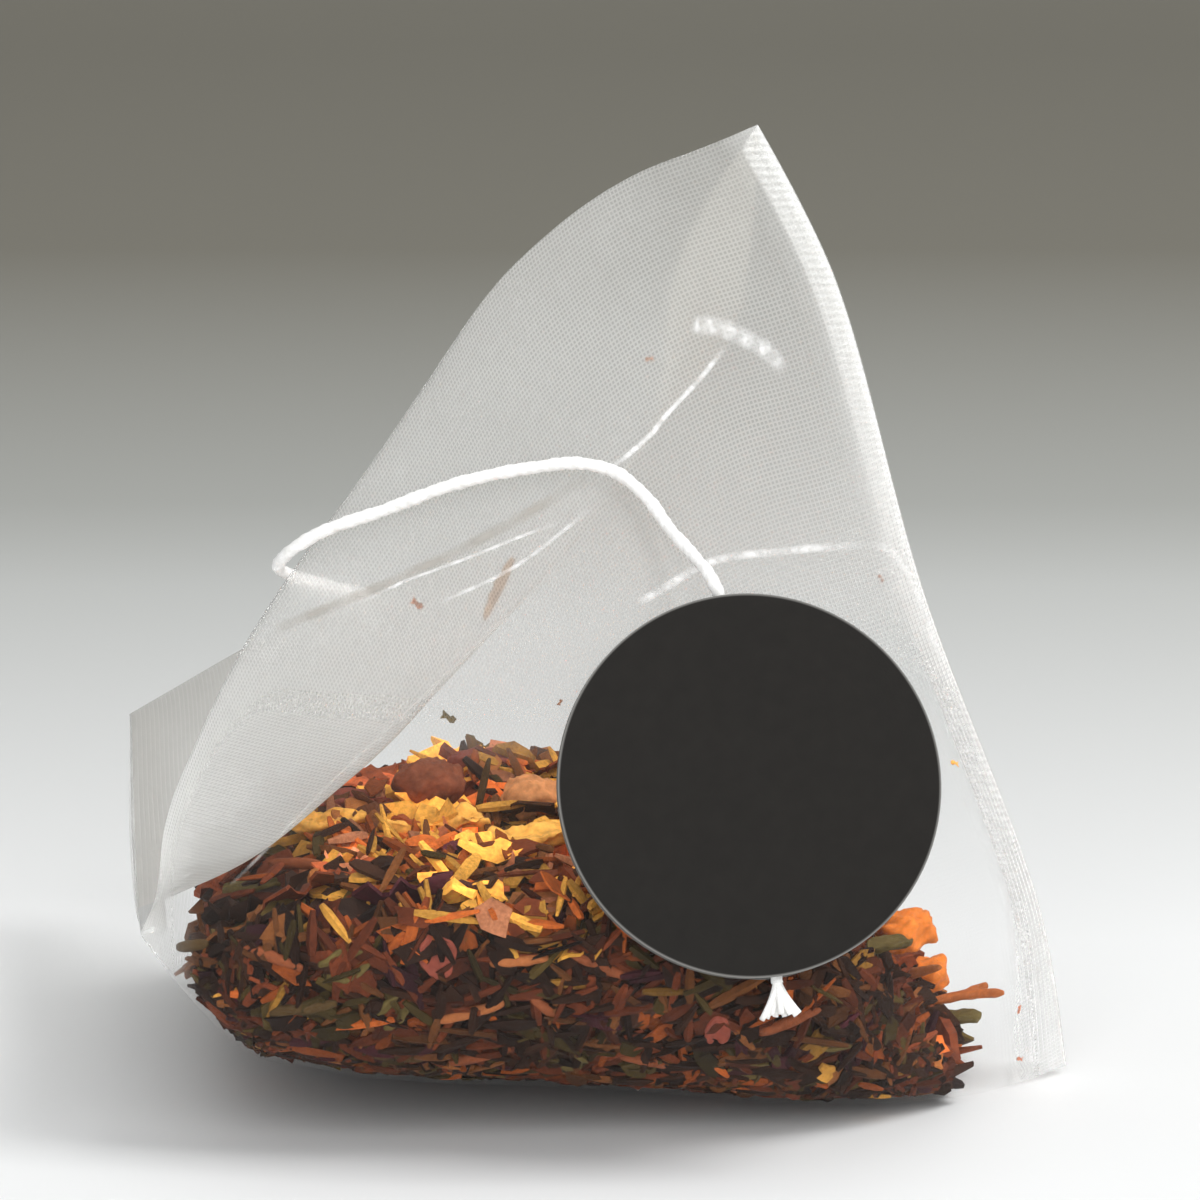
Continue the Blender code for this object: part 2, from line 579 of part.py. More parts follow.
def seat(points, faces, direction, reach, obstacles):
    """Slide a piece along a direction until it lies a gap from what it meets; None if it has no room."""
    grown = swollen(points, faces, 1.05 * GAP)
    direction = np.asarray(direction, float)
    if blocked(grown, faces, 0.0, obstacles):
        return None
    travel = 0.0
    for step in (0.6 * MM, 0.15 * MM, 0.04 * MM):
        while travel < reach and not blocked(grown, faces, direction * (travel + step), obstacles):
            travel += step
    return points + direction * travel


def turned(points, matrix):
    """Points turned by a 3 by 3 matrix."""
    return points @ np.array(matrix).T


def tree_of(obj):
    """Search tree of an object's evaluated mesh."""
    return BVHTree.FromObject(obj, bpy.context.evaluated_depsgraph_get())


def tea_pieces(bag, heap):
    """The whole pieces of leaf, fruit and stem that show: some against the front film, some on the heap.

    Each piece starts clear of everything at one of a few depths or heights and is then seated from there. A
    piece that has no room in a smaller bag is made smaller.
    """
    film_tree = tree_of(bag)
    obstacles = [film_tree, tree_of(heap)]
    materials = {kind: material(kind, colour, rough) for kind, (_, colour, rough) in KINDS.items()}
    counts = dict.fromkeys(KINDS, 0)

    def place(kind, points, faces, starts, direction):
        middle = points.mean(axis=0)
        for share, start in itertools.product((1.0, 0.85, 0.7, 0.55), starts):
            shaped = middle + (points - middle) * share
            seated = seat(shaped + start, faces, direction, np.linalg.norm(start), obstacles)
            if seated is not None:
                counts[kind] += 1
                add_object(f"{kind}_{counts[kind]}", seated, faces, materials[kind])
                obstacles.append(polygon_tree(seated, faces))
                return

    for seed, (kind, x, z, roll, length, width) in enumerate(FRONT_PIECES):
        points, faces = piece_form(kind, length * MM, width * MM, seed)
        origin = Vector((x * BAG_WIDTH / 63, -BAG_DEPTH, z * BAG_HEIGHT / 61.3))
        hit, normal, _, _ = film_tree.ray_cast(origin, Vector((0, 1, 0)))
        across = Vector((1, 0, 0)) - normal * normal.x
        frame = Matrix((across.normalized(), normal.cross(across).normalized(), normal)).transposed()
        points = turned(points, frame @ Matrix.Rotation(math.radians(roll), 3, "Z")) + np.array(hit)
        skin = FILM_WALL + GAP + 0.5 * np.ptp(points @ np.array(normal))
        starts = [np.array(normal) * -(skin + FRONT_POCKET * s) for s in (0.2, 0.35, 0.5, 0.65, 0.8, 1.0)]
        place(kind, points, faces, starts, normal)

    for seed, (kind, x, y, yaw, pitch, length, width) in enumerate(TOP_PIECES, start=50):
        points, faces = piece_form(kind, length * MM, width * MM, seed)
        turn = Matrix.Rotation(math.radians(yaw), 3, "Z") @ Matrix.Rotation(math.radians(-pitch), 3, "Y")
        points = turned(points, turn) + np.array([x * BAG_WIDTH / 63, y * BAG_DEPTH / 62, 0])
        base = float(heap_height(x * MM, y * MM)) + 0.5 * np.ptp(points[:, 2]) + GAP
        starts = [np.array([0, 0, base + HEAP_TOP * s]) for s in (0.03, 0.1, 0.2, 0.3, 0.4, 0.5)]
        place(kind, points, faces, starts, (0, 0, -1))


def tag_frame():
    """Axes of the tag: across it, up along its thread, and out of its front face."""
    turn = Matrix.Rotation(TAG_TURN, 3, "Z") @ Matrix.Rotation(-TAG_LEAN, 3, "X")
    roll = Matrix.Rotation(-TAG_ROLL, 3, "Y")
    matrix = turn @ roll
    across = matrix @ Vector((1, 0, 0))
    up = matrix @ Vector((0, 0, 1))
    return np.array(across), np.array(up), np.array(across.cross(-up)) * -1


def disc_skin(profile):
    """Two end points of each chord of the tag; a profile gives the chord's height out of the paper."""
    columns = 48
    angle = np.linspace(-0.5 * math.pi, 0.5 * math.pi, columns + 1)
    across = 0.5 * TAG_DIAMETER * np.sin(angle)
    channel = CHANNEL_HALF * np.array([-2.2, -1.6, -1.0, 0.0, 1.0, 1.6, 2.2])
    across = np.sort(np.concatenate((across[np.abs(across) > 2.5 * CHANNEL_HALF], channel)))
    reach = np.sqrt(np.maximum((0.5 * TAG_DIAMETER) ** 2 - across**2, (0.004 * TAG_DIAMETER) ** 2))
    height = profile(across)
    low = np.stack((across, -reach, height), axis=1)
    high = np.stack((across, reach, height), axis=1)
    return np.stack((low, high), axis=1).reshape(-1, 3)


def channel(across):
    """Height of the back paper: a gap behind the front paper, and a ridge that clears the thread."""
    ridge = THREAD_DIAMETER + GAP
    return -GAP - ridge * np.interp(np.abs(across), [CHANNEL_HALF, 2.2 * CHANNEL_HALF], [1, 0])


def paper_disc(profile, thickness, frame):
    """A paper disc between its profile and the same profile a thickness further out."""
    front = disc_skin(lambda s: profile(s) + thickness)
    back = disc_skin(profile)
    local = np.vstack((front, back))
    across, up, out = frame
    points = local[:, :1] * across + local[:, 1:2] * up + local[:, 2:] * out
    return points, plate_faces(len(front) // 2, 2)


def tag(bag):
    """Both papers of the tag, leant on the bag's front as one, and the tag's centre and axes."""
    frame = tag_frame()
    paper = material("tag_paper", (0.035, 0.031, 0.028), 0.85)
    front = paper_disc(lambda s: 0 * s, TAG_PAPER, frame)
    back = paper_disc(lambda s: channel(s) - TAG_PAPER, TAG_PAPER, frame)
    start = np.array([TAG_X * BAG_WIDTH / 0.063, -0.62 * BAG_DEPTH, TAG_Z * BAG_HEIGHT / 0.0613])
    moved = seat(back[0] + start, back[1], (0, 1, 0), 0.4 * BAG_DEPTH, [tree_of(bag)])
    shift = moved[0] - back[0][0]
    for name, (points, faces) in (("tag_front", front), ("tag_back", back)):
        add_object(name, points + shift, faces, paper)
    return shift, frame


def thread(centre, frame):
    """The thread: through its chosen points, down the channel between the papers, and frayed out below."""
    across, up, out = frame
    axis = centre - out * (GAP + 0.5 * THREAD_DIAMETER)
    end = 0.5 + TAIL_LENGTH / TAG_DIAMETER
    through = [axis + up * TAG_DIAMETER * s for s in (0.5, 0.25, 0, -0.25, -0.5, -end)]
    route = np.vstack((np.array(THREAD_ROUTE) * MM, through))
    along = np.concatenate(([0], np.cumsum(np.linalg.norm(np.diff(route, axis=0), axis=1))))
    count = int(along[-1] / (2.2 * THREAD_DIAMETER))
    reach = np.linspace(0, along[-1], count)
    curve = bpy.data.curves.new("thread", "CURVE")
    curve.dimensions = "3D"
    curve.bevel_depth = 0.5 * THREAD_DIAMETER
    curve.bevel_resolution = 2
    curve.use_fill_caps = True
    spline = curve.splines.new("POLY")
    spline.points.add(count - 1)
    for point, place, length in zip(spline.points, smooth_curve(along, route, reach), reach):
        point.co = (*place, 1)
        point.radius = 1 + TAIL_FLARE * max(0.0, 1 - (along[-1] - length) / (0.7 * TAIL_LENGTH))
    curve.materials.append(material("cotton_thread", (0.92, 0.91, 0.88), 0.9))
    obj = bpy.data.objects.new("thread", curve)
    bpy.context.collection.objects.link(obj)


def centre_on(bag):
    """Move everything so that the pouch's box is centred on x = y = 0."""
    corners = np.array([tuple(corner) for corner in bag.bound_box])
    middle = 0.5 * (corners.min(axis=0) + corners.max(axis=0))
    for obj in bpy.data.objects:
        obj.data.transform(Matrix.Translation((-middle[0], -middle[1], 0)))


def main():
    for obj in list(bpy.data.objects):
        bpy.data.objects.remove(obj, do_unlink=True)
    bag = mesh_bag()
    heap = tea_heap()
    tea_pieces(bag, heap)
    centre, frame = tag(bag)
    thread(centre, frame)
    centre_on(bag)


main()
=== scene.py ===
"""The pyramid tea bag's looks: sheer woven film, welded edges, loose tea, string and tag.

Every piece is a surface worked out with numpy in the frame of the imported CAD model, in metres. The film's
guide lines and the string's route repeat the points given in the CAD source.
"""

import math

import bmesh
import bpy
import numpy as np
from mathutils import Matrix, Vector
from mathutils.bvhtree import BVHTree


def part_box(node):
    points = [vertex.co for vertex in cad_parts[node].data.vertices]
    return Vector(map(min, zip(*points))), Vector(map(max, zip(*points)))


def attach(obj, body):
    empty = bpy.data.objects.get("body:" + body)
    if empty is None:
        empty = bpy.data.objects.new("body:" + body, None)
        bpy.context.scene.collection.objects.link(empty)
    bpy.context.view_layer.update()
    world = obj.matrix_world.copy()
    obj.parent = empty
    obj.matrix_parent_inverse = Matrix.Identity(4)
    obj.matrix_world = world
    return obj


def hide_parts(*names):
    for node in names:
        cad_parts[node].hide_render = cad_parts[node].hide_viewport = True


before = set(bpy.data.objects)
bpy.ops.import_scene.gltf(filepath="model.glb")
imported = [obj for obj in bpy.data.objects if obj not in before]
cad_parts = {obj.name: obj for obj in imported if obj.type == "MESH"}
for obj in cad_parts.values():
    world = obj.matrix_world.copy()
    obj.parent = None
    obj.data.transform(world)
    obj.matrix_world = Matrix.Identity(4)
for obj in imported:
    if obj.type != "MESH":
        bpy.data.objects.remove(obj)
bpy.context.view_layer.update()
MM = 0.001

# Sizes shared with the CAD source, in metres
BAG_BOX = np.array([0.063, 0.062, 0.0613])
FILM_WALL = 0.00016
SEAL_BAND = 0.0017
TUBE_LENGTH = 0.066
TUBE_AROUND = 0.131
TAG_DIAMETER = 0.0235
TAG_PAPER = 0.0003
TAG_LEAN, TAG_TURN, TAG_ROLL = (math.radians(a) for a in (18.0, 6.0, 6.5))
GAP = 0.0003
THREAD_DIAMETER = 0.00078
TAIL_LENGTH = 0.0022

# Finer sampling of the film than the CAD's
SPAN_COLUMNS = 28
FILM_ROWS = 180
WEAVE_PITCH = 0.00024
THREAD_COVER = 0.86
FILM_CLEARANCE = 0.00025

# Camera: the photograph's height angle, distance and scale
CAMERA_TARGET = Vector((0.00121, -0.00282, 0.03032))
CAMERA_DISTANCE = 0.48
CAMERA_HEIGHT = math.radians(11.0)
PIXELS_PER_METRE = 15600.0
HALF_IMAGE = 600.0

# The two seals: (share of the seal, x, y, z), with x, y and z in hundredths of the bag's box
RIGHT_SEAL = [(0, 18, -8, 100), (.12, 24, -9.5, 89), (.22, 27, -11, 80), (.33, 29.5, -13, 69),
              (.45, 32.5, -14.5, 57.5), (.53, 36, -16, 49.5), (.66, 41, -17.5, 37), (.92, 48.8, -14, 9.5),
              (1, 49.9, -11, 1)]
LEFT_SEAL = [(0, -42.8, -43.5, 23), (.33, -45.6, -14.5, 22), (.66, -47.9, 18, 23), (1, -49.7, 49.7, 25.5)]

# Lines that run along the film from the right seal to the left seal, in order around the tube:
# (share of the right seal, share of the left seal, fold sharpness, points at shares of the tube's length)
GUIDES = {
    "front_left_fold": (0, 0, .55, [
        (.06, 12, -9.5, 97.5), (.12, 5.5, -11, 95), (.25, -6, -17.5, 87.5), (.4, -15, -24, 75.5),
        (.6, -27.5, -30.5, 58.5), (.8, -37.5, -37, 41.5), (.9, -40.5, -41, 33), (.96, -41.3, -43.5, 26.5)]),
    "front_upper": (.167, 0, 1, [(.25, 0, -26, 74), (.5, -16.5, -35.5, 58), (.75, -33, -40, 40)]),
    "front_middle": (.5, 0, 1, [(.25, 10.5, -40, 48.5), (.5, -9, -46.5, 40), (.75, -29.5, -46.5, 29.5)]),
    "front_lower": (.833, 0, 1, [(.25, 21, -45, 21.5), (.5, -1.5, -49.8, 20), (.75, -26, -49, 17.5)]),
    "front_toe": (1, 0, .9, [
        (.06, 42.5, -19.5, 1), (.16, 36, -27.5, 2), (.28, 27, -34, 3.3), (.5, 2, -40, 6.8),
        (.75, -26.5, -43.5, 10), (.83, -33, -45, 13), (.92, -38.5, -45, 18)]),
    "base_front": (1, .08, 1, [
        (.25, 26.5, -22, .6), (.5, 1.5, -24, 2.6), (.75, -25, -32, 6), (.9, -35, -37, 11)]),
    "base_middle": (1, .16, 1, [(.25, 26, -8, 0), (.5, .5, -4, 0), (.75, -25.5, -5, 1), (.9, -38, -19, 10)]),
    "base_back": (1, .58, 1, [
        (.25, 26, 3, 0), (.5, 1.5, 14.5, .4), (.75, -24, 22.5, 4), (.9, -39, 21, 10.5)]),
    "back_toe": (1, 1, .9, [(.25, 26, 10.5, 4.8), (.5, 1.5, 27.5, 9), (.75, -23, 40, 15.5)]),
    "back_lower": (.833, 1, 1, [(.25, 25, 14.5, 14.5), (.5, 1.5, 33, 15.5), (.75, -23, 43.5, 19.5)]),
    "back_middle": (.5, 1, 1, [(.25, 21, 15.5, 40.5), (.5, -1, 32.5, 31.5), (.75, -25, 43.5, 27.5)]),
    "back_upper": (.167, 1, 1, [(.25, 16.5, 5, 63.5), (.5, -3.5, 22, 47), (.75, -26.5, 38, 36)]),
    "tuck_ridge": (0, 1, .45, [
        (.19, 15, -6.5, 77.5), (.26, 12.5, -1.5, 73), (.36, 6, 5, 64), (.52, -6.5, 14.5, 54),
        (.63, -16, 22.5, 48), (.76, -27, 30.5, 42), (.9, -37.5, 40, 34.5)]),
    "tuck_back": (0, .58, 1, ("tuck_ridge", "tuck_valley")),
    "tuck_valley": (0, .16, .45, [
        (.2, 9.5, -9, 83), (.3, 8.5, -9, 72.5), (.45, 4, -9.5, 62.5), (.55, -3, -13, 54.5),
        (.69, -13, -17.5, 43.5), (.82, -23.5, -26, 34.5), (.92, -33.5, -35, 28)]),
    "tuck_front": (0, .08, 1, ("tuck_valley", "front_left_fold")),
}

# The string's route in metres, from its weld behind the left fold to the tag's top edge
STRING_ROUTE = np.array([
    (-13.4, -15.0, 33.0), (-14.8, -15.9, 33.5), (-16.2, -16.9, 34.1), (-17.7, -17.9, 34.7),
    (-18.6, -19.1, 35.5), (-18.0, -20.3, 36.6), (-16.4, -20.5, 37.7), (-12.0, -20.2, 39.3),
    (-7.7, -20.2, 40.9), (-2.8, -19.9, 41.9), (0.1, -19.6, 42.1), (2.3, -19.5, 41.5),
    (4.0, -20.1, 40.2), (5.6, -21.5, 38.3), (7.1, -23.3, 36.9), (8.0, -24.7, 36.0)]) * MM

# Plain leaf and fruit colours, with how often each shows in the low leaves and in those on top
TEA_COLOURS = {
    "dark_leaf": ((.034, .013, .006), .34, .08),
    "red_rooibos": ((.165, .040, .014), .26, .16),
    "olive_leaf": ((.078, .055, .014), .14, .05),
    "brown_stem": ((.195, .074, .022), .12, .12),
    "rust_peel": ((.440, .110, .022), .06, .24),
    "golden_peel": ((.720, .380, .070), .015, .34),
    "purple_berry": ((.060, .014, .022), .05, .03),
    "pink_fruit": ((.520, .220, .120), .00, .08),
}
# Heights between which the leaf colours change, and where the heap's loose toe starts
LOW_LEAVES_TOP = 0.0142
HIGH_LEAVES_BASE = 0.0158
TOE_START = 0.0205

# Where the film lies pressed on the tea: its top, left and right limits, and how far it fades out at each
PRESSED_TOP, PRESSED_LEFT, PRESSED_RIGHT = 0.0320, -0.0275, 0.0300
PRESSED_FADE = (0.0070, 0.0040, 0.0030)

# ---------------- curves and the film's surface

def unit(vectors):
    """Vectors scaled to unit length."""
    return vectors / (np.linalg.norm(vectors, axis=-1, keepdims=True) + 1e-12)


def arc_length(path):
    """Distance along a path at each of its points."""
    return np.concatenate(([0], np.cumsum(np.linalg.norm(np.diff(path, axis=0), axis=1))))


def hermite(start, end, start_tangent, end_tangent, t):
    """Cubic Hermite blend of two points and their tangents."""
    return ((2 * t**3 - 3 * t**2 + 1) * start + (t**3 - 2 * t**2 + t) * start_tangent
            + (3 * t**2 - 2 * t**3) * end + (t**3 - t**2) * end_tangent)


def smooth_curve(knots, points, at):
    """Cubic curve through points at rising knots; each tangent is that of the parabola through three."""
    knots, points, at = (np.asarray(a, float) for a in (knots, points, at))
    step = np.diff(knots)[:, None]
    slope = np.diff(points, axis=0) / step
    tangent = np.empty_like(points)
    tangent[1:-1] = (slope[:-1] * step[1:] + slope[1:] * step[:-1]) / (step[1:] + step[:-1])
    tangent[0] = 1.5 * slope[0] - 0.5 * tangent[1]
    tangent[-1] = 1.5 * slope[-1] - 0.5 * tangent[-2]
    span = np.clip(np.searchsorted(knots, at, side="right") - 1, 0, len(knots) - 2)
    width = step[span]
    t = (at - knots[span])[:, None] / width
    return hermite(points[span], points[span + 1], tangent[span] * width, tangent[span + 1] * width, t)


def seal_point(seal, share):
    """The point at a share of a seal's length."""
    rows = np.array(seal, float)
    return smooth_curve(rows[:, 0], rows[:, 1:], [share])[0]


def guide_lines(shares):
    """Points of every guide at the given shares of the tube's length, and each guide's fold sharpness."""
    lines = {}
    for name, (right, left, _, rows) in GUIDES.items():
        if isinstance(rows, list):
            rows = np.array(rows, float)
            knots = np.concatenate(([0.0], rows[:, 0], [1.0]))
            points = np.vstack((seal_point(RIGHT_SEAL, right), rows[:, 1:], seal_point(LEFT_SEAL, left)))
            lines[name] = smooth_curve(knots, points, shares)
    for name, (_, _, _, rows) in GUIDES.items():
        if isinstance(rows, tuple):
            lines[name] = 0.5 * (lines[rows[0]] + lines[rows[1]])
    sharpness = np.array([guide[2] for guide in GUIDES.values()])
    return np.stack([lines[name] for name in GUIDES]) * BAG_BOX / 100.0, sharpness


def film_surface(shares):
    """The film's middle surface [around, along, xyz]: at each share, a closed cubic through the guides."""
    guides, sharpness = guide_lines(shares)
    ahead = np.roll(guides, -1, axis=0)
    behind = np.roll(guides, 1, axis=0)
    step = np.sqrt(np.linalg.norm(ahead - guides, axis=2, keepdims=True) + 1e-6)
    last = np.roll(step, 1, axis=0)
    tangent = ((ahead - guides) / step * last + (guides - behind) / last * step) / (step + last)
    tangent = tangent * sharpness[:, None, None]
    after = np.roll(tangent, -1, axis=0)
    t = (np.arange(SPAN_COLUMNS) / SPAN_COLUMNS)[None, :, None, None]
    surface = hermite(guides[:, None], ahead[:, None], (tangent * step)[:, None], (after * step)[:, None], t)
    surface = surface.reshape(-1, *surface.shape[2:])
    surface[:, :, 2] = np.maximum(surface[:, :, 2], FILM_WALL / 2)
    return surface


def surface_normals(surface):
    """Unit outward normals of the closed film, from central differences around and along it."""
    around = np.roll(surface, -1, axis=0) - np.roll(surface, 1, axis=0)
    normal = unit(np.cross(around, np.gradient(surface, axis=1)))
    if np.sum(normal * (surface - surface.mean(axis=(0, 1)))) < 0:
        normal = -normal
    return normal


# ---------------- meshes and materials

def new_object(name, data):
    """An object for some data, linked into the scene."""
    obj = bpy.data.objects.new(name, data)
    bpy.context.collection.objects.link(obj)
    return obj


def new_mesh(name, points, faces):
    """A smooth mesh object at the origin made of an array of points and a list or array of faces."""
    mesh = bpy.data.meshes.new(name)
    mesh.from_pydata(np.asarray(points, float).tolist(), [],
                     faces.tolist() if isinstance(faces, np.ndarray) else faces)
    mesh.update()
    mesh.shade_smooth()
    return new_object(name, mesh)


def grid_quads(rows, columns, wrap_rows=False, wrap_columns=False):
    """Quads of a grid of rows by columns points, closed round either way if asked."""
    r = np.arange(rows if wrap_rows else rows - 1)[:, None]
    c = np.arange(columns if wrap_columns else columns - 1)[None, :]
    n, m = (r + 1) % rows, (c + 1) % columns
    corners = (r * columns + c, n * columns + c, n * columns + m, r * columns + m)
    return np.stack(np.broadcast_arrays(*corners), -1).reshape(-1, 4)


def capped_tube(rings, sides):
    """Faces of a tube of rings with a cap at each end."""
    last = (rings - 1) * sides
    caps = [list(range(sides)), list(range(last + sides - 1, last - 1, -1))]
    return grid_quads(rings, sides, wrap_columns=True).tolist() + caps


def value_attributes(obj, **values):
    """Store numbers for each point of a mesh, under the given names."""
    for name, numbers in values.items():
        layer = obj.data.attributes.new(name, "FLOAT", "POINT")
        layer.data.foreach_set("value", np.asarray(numbers, np.float32).ravel())


def colour_attribute(obj, name, colours):
    """Store a colour for each point of a mesh."""
    layer = obj.data.color_attributes.new(name, "FLOAT_COLOR", "POINT")
    solid = np.column_stack((colours, np.ones(len(colours)))).astype(np.float32)
    layer.data.foreach_set("color", solid.ravel())


class Nodes:
    """Short calls to add and join nodes in one tree."""

    def __init__(self, tree):
        self.tree = tree

    def add(self, kind, inputs=None, **settings):
        node = self.tree.nodes.new(kind)
        for key, value in settings.items():
            setattr(node, key, value)
        for key, value in (inputs or {}).items():
            self.give(node.inputs[key], value)
        return node

    def give(self, socket, value):
        """Link an output to a socket, or set the socket's own value."""
        if isinstance(value, bpy.types.NodeSocket):
            self.tree.links.new(value, socket)
        else:
            socket.default_value = value

    def math(self, operation, a, b=0.0, clamp=False):
        return self.add("ShaderNodeMath", {0: a, 1: b}, operation=operation, use_clamp=clamp).outputs[0]

    def plus(self, a, b, **more):
        return self.math("ADD", a, b, **more)

    def minus(self, a, b, **more):
        return self.math("SUBTRACT", a, b, **more)

    def times(self, a, b, **more):
        return self.math("MULTIPLY", a, b, **more)

    def mix(self, share, a, b, blend="MIX"):
        node = self.add("ShaderNodeMix", {"Factor": share}, data_type="RGBA", blend_type=blend)
        for socket, colour in ((node.inputs[6], a), (node.inputs[7], b)):
            self.give(socket, (*colour, 1.0) if isinstance(colour, tuple) else colour)
        return node.outputs[2]

    def remap(self, value, low, high, out_low=0.0, out_high=1.0):
        limits = {0: value, 1: low, 2: high, 3: out_low, 4: out_high}
        return self.add("ShaderNodeMapRange", limits).outputs[0]

    def place(self):
        return self.add("ShaderNodeTexCoord").outputs["Object"]

    def noise(self, place, scale, detail, **more):
        inputs = {"Vector": place, "Scale": scale, "Detail": detail, **more}
        return self.add("ShaderNodeTexNoise", inputs).outputs[0]

    def attribute(self, name, output="Fac"):
        return self.add("ShaderNodeAttribute", attribute_name=name).outputs[output]

    def group(self, tree, inputs):
        return self.add("ShaderNodeGroup", node_tree=tree, inputs=inputs)

    def drive(self, node, **values):
        for label, value in values.items():
            self.tree.links.new(value, node.inputs[label.replace("_", " ")])

    def relief(self, shader, height, strength, depth):
        bump = self.add("ShaderNodeBump", {"Strength": strength, "Distance": depth, "Height": height})
        self.drive(shader, Normal=bump.outputs[0])


def new_group(name, inputs, outputs):
    """A shader node group with named sockets: its tree, its helper, its input and its output node."""
    tree = bpy.data.node_groups.new(name, "ShaderNodeTree")
    kinds = {"value": "NodeSocketFloat", "colour": "NodeSocketColor", "vector": "NodeSocketVector"}
    for way, sockets in (("INPUT", inputs), ("OUTPUT", outputs)):
        for label, kind in sockets.items():
            tree.interface.new_socket(label, in_out=way, socket_type=kinds[kind])
    nodes = Nodes(tree)
    return tree, nodes, nodes.add("NodeGroupInput"), nodes.add("NodeGroupOutput")


def weave_group():
    """Plain weave: two families of round threads, a pitch apart, that pass over and under each other."""
    tree, nodes, given, out = new_group(
        "plain_weave", {"Cloth": "vector", "Pitch": "value", "Thread": "value"},
        {"Cover": "value", "Height": "value"})
    split = nodes.add("ShaderNodeSeparateXYZ", {0: given.outputs["Cloth"]})
    ridges = []
    for axis in (0, 1):
        turns = nodes.math("DIVIDE", split.outputs[axis], given.outputs["Pitch"])
        wave = nodes.math("PINGPONG", turns, 0.5)
        half = nodes.times(given.outputs["Thread"], 0.5)
        edge = nodes.math("DIVIDE", wave, half)
        ridges.append(nodes.minus(1.0, nodes.times(edge, edge), clamp=True))
    either = nodes.math("MAXIMUM", ridges[0], ridges[1])
    nodes.drive(out, Cover=nodes.remap(either, 0.0, 0.35), Height=either)
    return tree


def plant_group():
    """Dry plant matter: a colour mottled by two scales of noise, and a rough height."""
    tree, nodes, given, out = new_group(
        "dry_plant", {"Colour": "colour", "Place": "vector", "Grain": "value", "Contrast": "value"},
        {"Colour": "colour", "Height": "value"})
    large = nodes.noise(given.outputs["Place"], 700.0, 3.0)
    fine = nodes.noise(given.outputs["Place"], given.outputs["Grain"], 4.0, Roughness=0.65)
    dark = nodes.mix(1.0, given.outputs["Colour"], (0.34, 0.27, 0.24), "MULTIPLY")
    light = nodes.mix(1.0, given.outputs["Colour"], (1.75, 1.6, 1.35), "MULTIPLY")
    tone = nodes.plus(nodes.times(large, 0.45), nodes.times(fine, 0.55))
    apart = nodes.times(nodes.minus(tone, 0.5), given.outputs["Contrast"])
    spread = nodes.plus(apart, 0.5, clamp=True)
    nodes.drive(out, Colour=nodes.mix(spread, dark, light), Height=fine)
    return tree


WEAVE = weave_group()
PLANT = plant_group()


def new_material(name, **settings):
    """A material with one Principled shader: returns it, its helper and the shader node."""
    mat = bpy.data.materials.new(name)
    mat.use_nodes = True
    shader = mat.node_tree.nodes["Principled BSDF"]
    for label, value in settings.items():
        shader.inputs[label.replace("_", " ")].default_value = value
    return mat, Nodes(mat.node_tree), shader


def plant_material(name, grain=3500.0, contrast=1.6, rough=0.72, colour=None, bump=0.5):
    """Dry leaf, peel or fruit. Its base colour is given, or else read from the pieces' own leaf_colour."""
    mat, nodes, shader = new_material(name, Roughness=rough, Specular_IOR_Level=0.12)
    source = (*colour, 1.0) if colour else nodes.attribute("leaf_colour", "Color")
    plant = nodes.group(PLANT, {
        "Colour": source, "Place": nodes.place(), "Grain": grain, "Contrast": contrast})
    nodes.drive(shader, Base_Color=plant.outputs["Colour"])
    nodes.relief(shader, plant.outputs["Height"], bump, 0.00008)
    return mat


def dress(piece, material, slot, *nodes):
    """Give a piece its one material and hide the CAD nodes that it stands for; the slot is not used."""
    piece.data.materials.clear()
    piece.data.materials.append(material)
    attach(piece, "root")
    if nodes:
        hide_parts(*nodes)


# ---------------- camera, light and ground

def place_camera():
    """The photograph's camera: slightly above, looking along +Y at the bag."""
    camera = bpy.data.cameras.new("photo_camera")
    camera.angle = 2 * math.atan(HALF_IMAGE / (PIXELS_PER_METRE * CAMERA_DISTANCE))
    camera.clip_start = 0.01
    obj = new_object("photo_camera", camera)
    look = Vector((0, math.cos(CAMERA_HEIGHT), -math.sin(CAMERA_HEIGHT)))
    obj.location = CAMERA_TARGET - look * CAMERA_DISTANCE
    obj.rotation_euler = look.to_track_quat("-Z", "Y").to_euler()
    bpy.context.scene.camera = obj


def soft_light(name, place, size, power):
    """A square area light aimed at the bag."""
    light = bpy.data.lights.new(name, "AREA")
    light.size = size
    light.energy = power
    obj = new_object(name, light)
    obj.location = place
    obj.rotation_euler = (Vector((0, 0, 0.03)) - Vector(place)).to_track_quat("-Z", "Y").to_euler()


def backdrop():
    """Pale ground that curves up into a wall behind, greyer further back and towards the top as painted
    shade: a profile carried along X.
    """
    front, depth, radius, height, half = -2.0, 0.55, 0.35, 1.6, 2.5
    turn = np.linspace(0, math.pi / 2, 24)
    profile = np.vstack(([[front, 0.0], [depth, 0.0]],
                         np.column_stack((depth + radius * np.sin(turn), radius * (1 - np.cos(turn))))[1:],
                         [[depth + radius, height]]))
    points = np.concatenate([np.column_stack((np.full(len(profile), x), profile)) for x in (-half, half)])
    ground = new_mesh("ground", points, grid_quads(2, len(profile))[:, ::-1])
    mat, nodes, shader = new_material("pale_ground", Roughness=0.6)
    back = nodes.add("ShaderNodeSeparateXYZ", {0: nodes.place()}).outputs[1]
    # Painted shade: the ground greys further back and the wall darkens towards the top
    near = nodes.remap(back, 0.03, 0.20)
    far = nodes.remap(back, 0.16, 0.36)
    pale = nodes.mix(near, (0.80, 0.805, 0.80), (0.43, 0.44, 0.42))
    nodes.drive(shader, Base_Color=nodes.mix(far, pale, (0.200, 0.190, 0.158)))
    ground.data.materials.append(mat)


place_camera()


# ---------------- the string and the tag

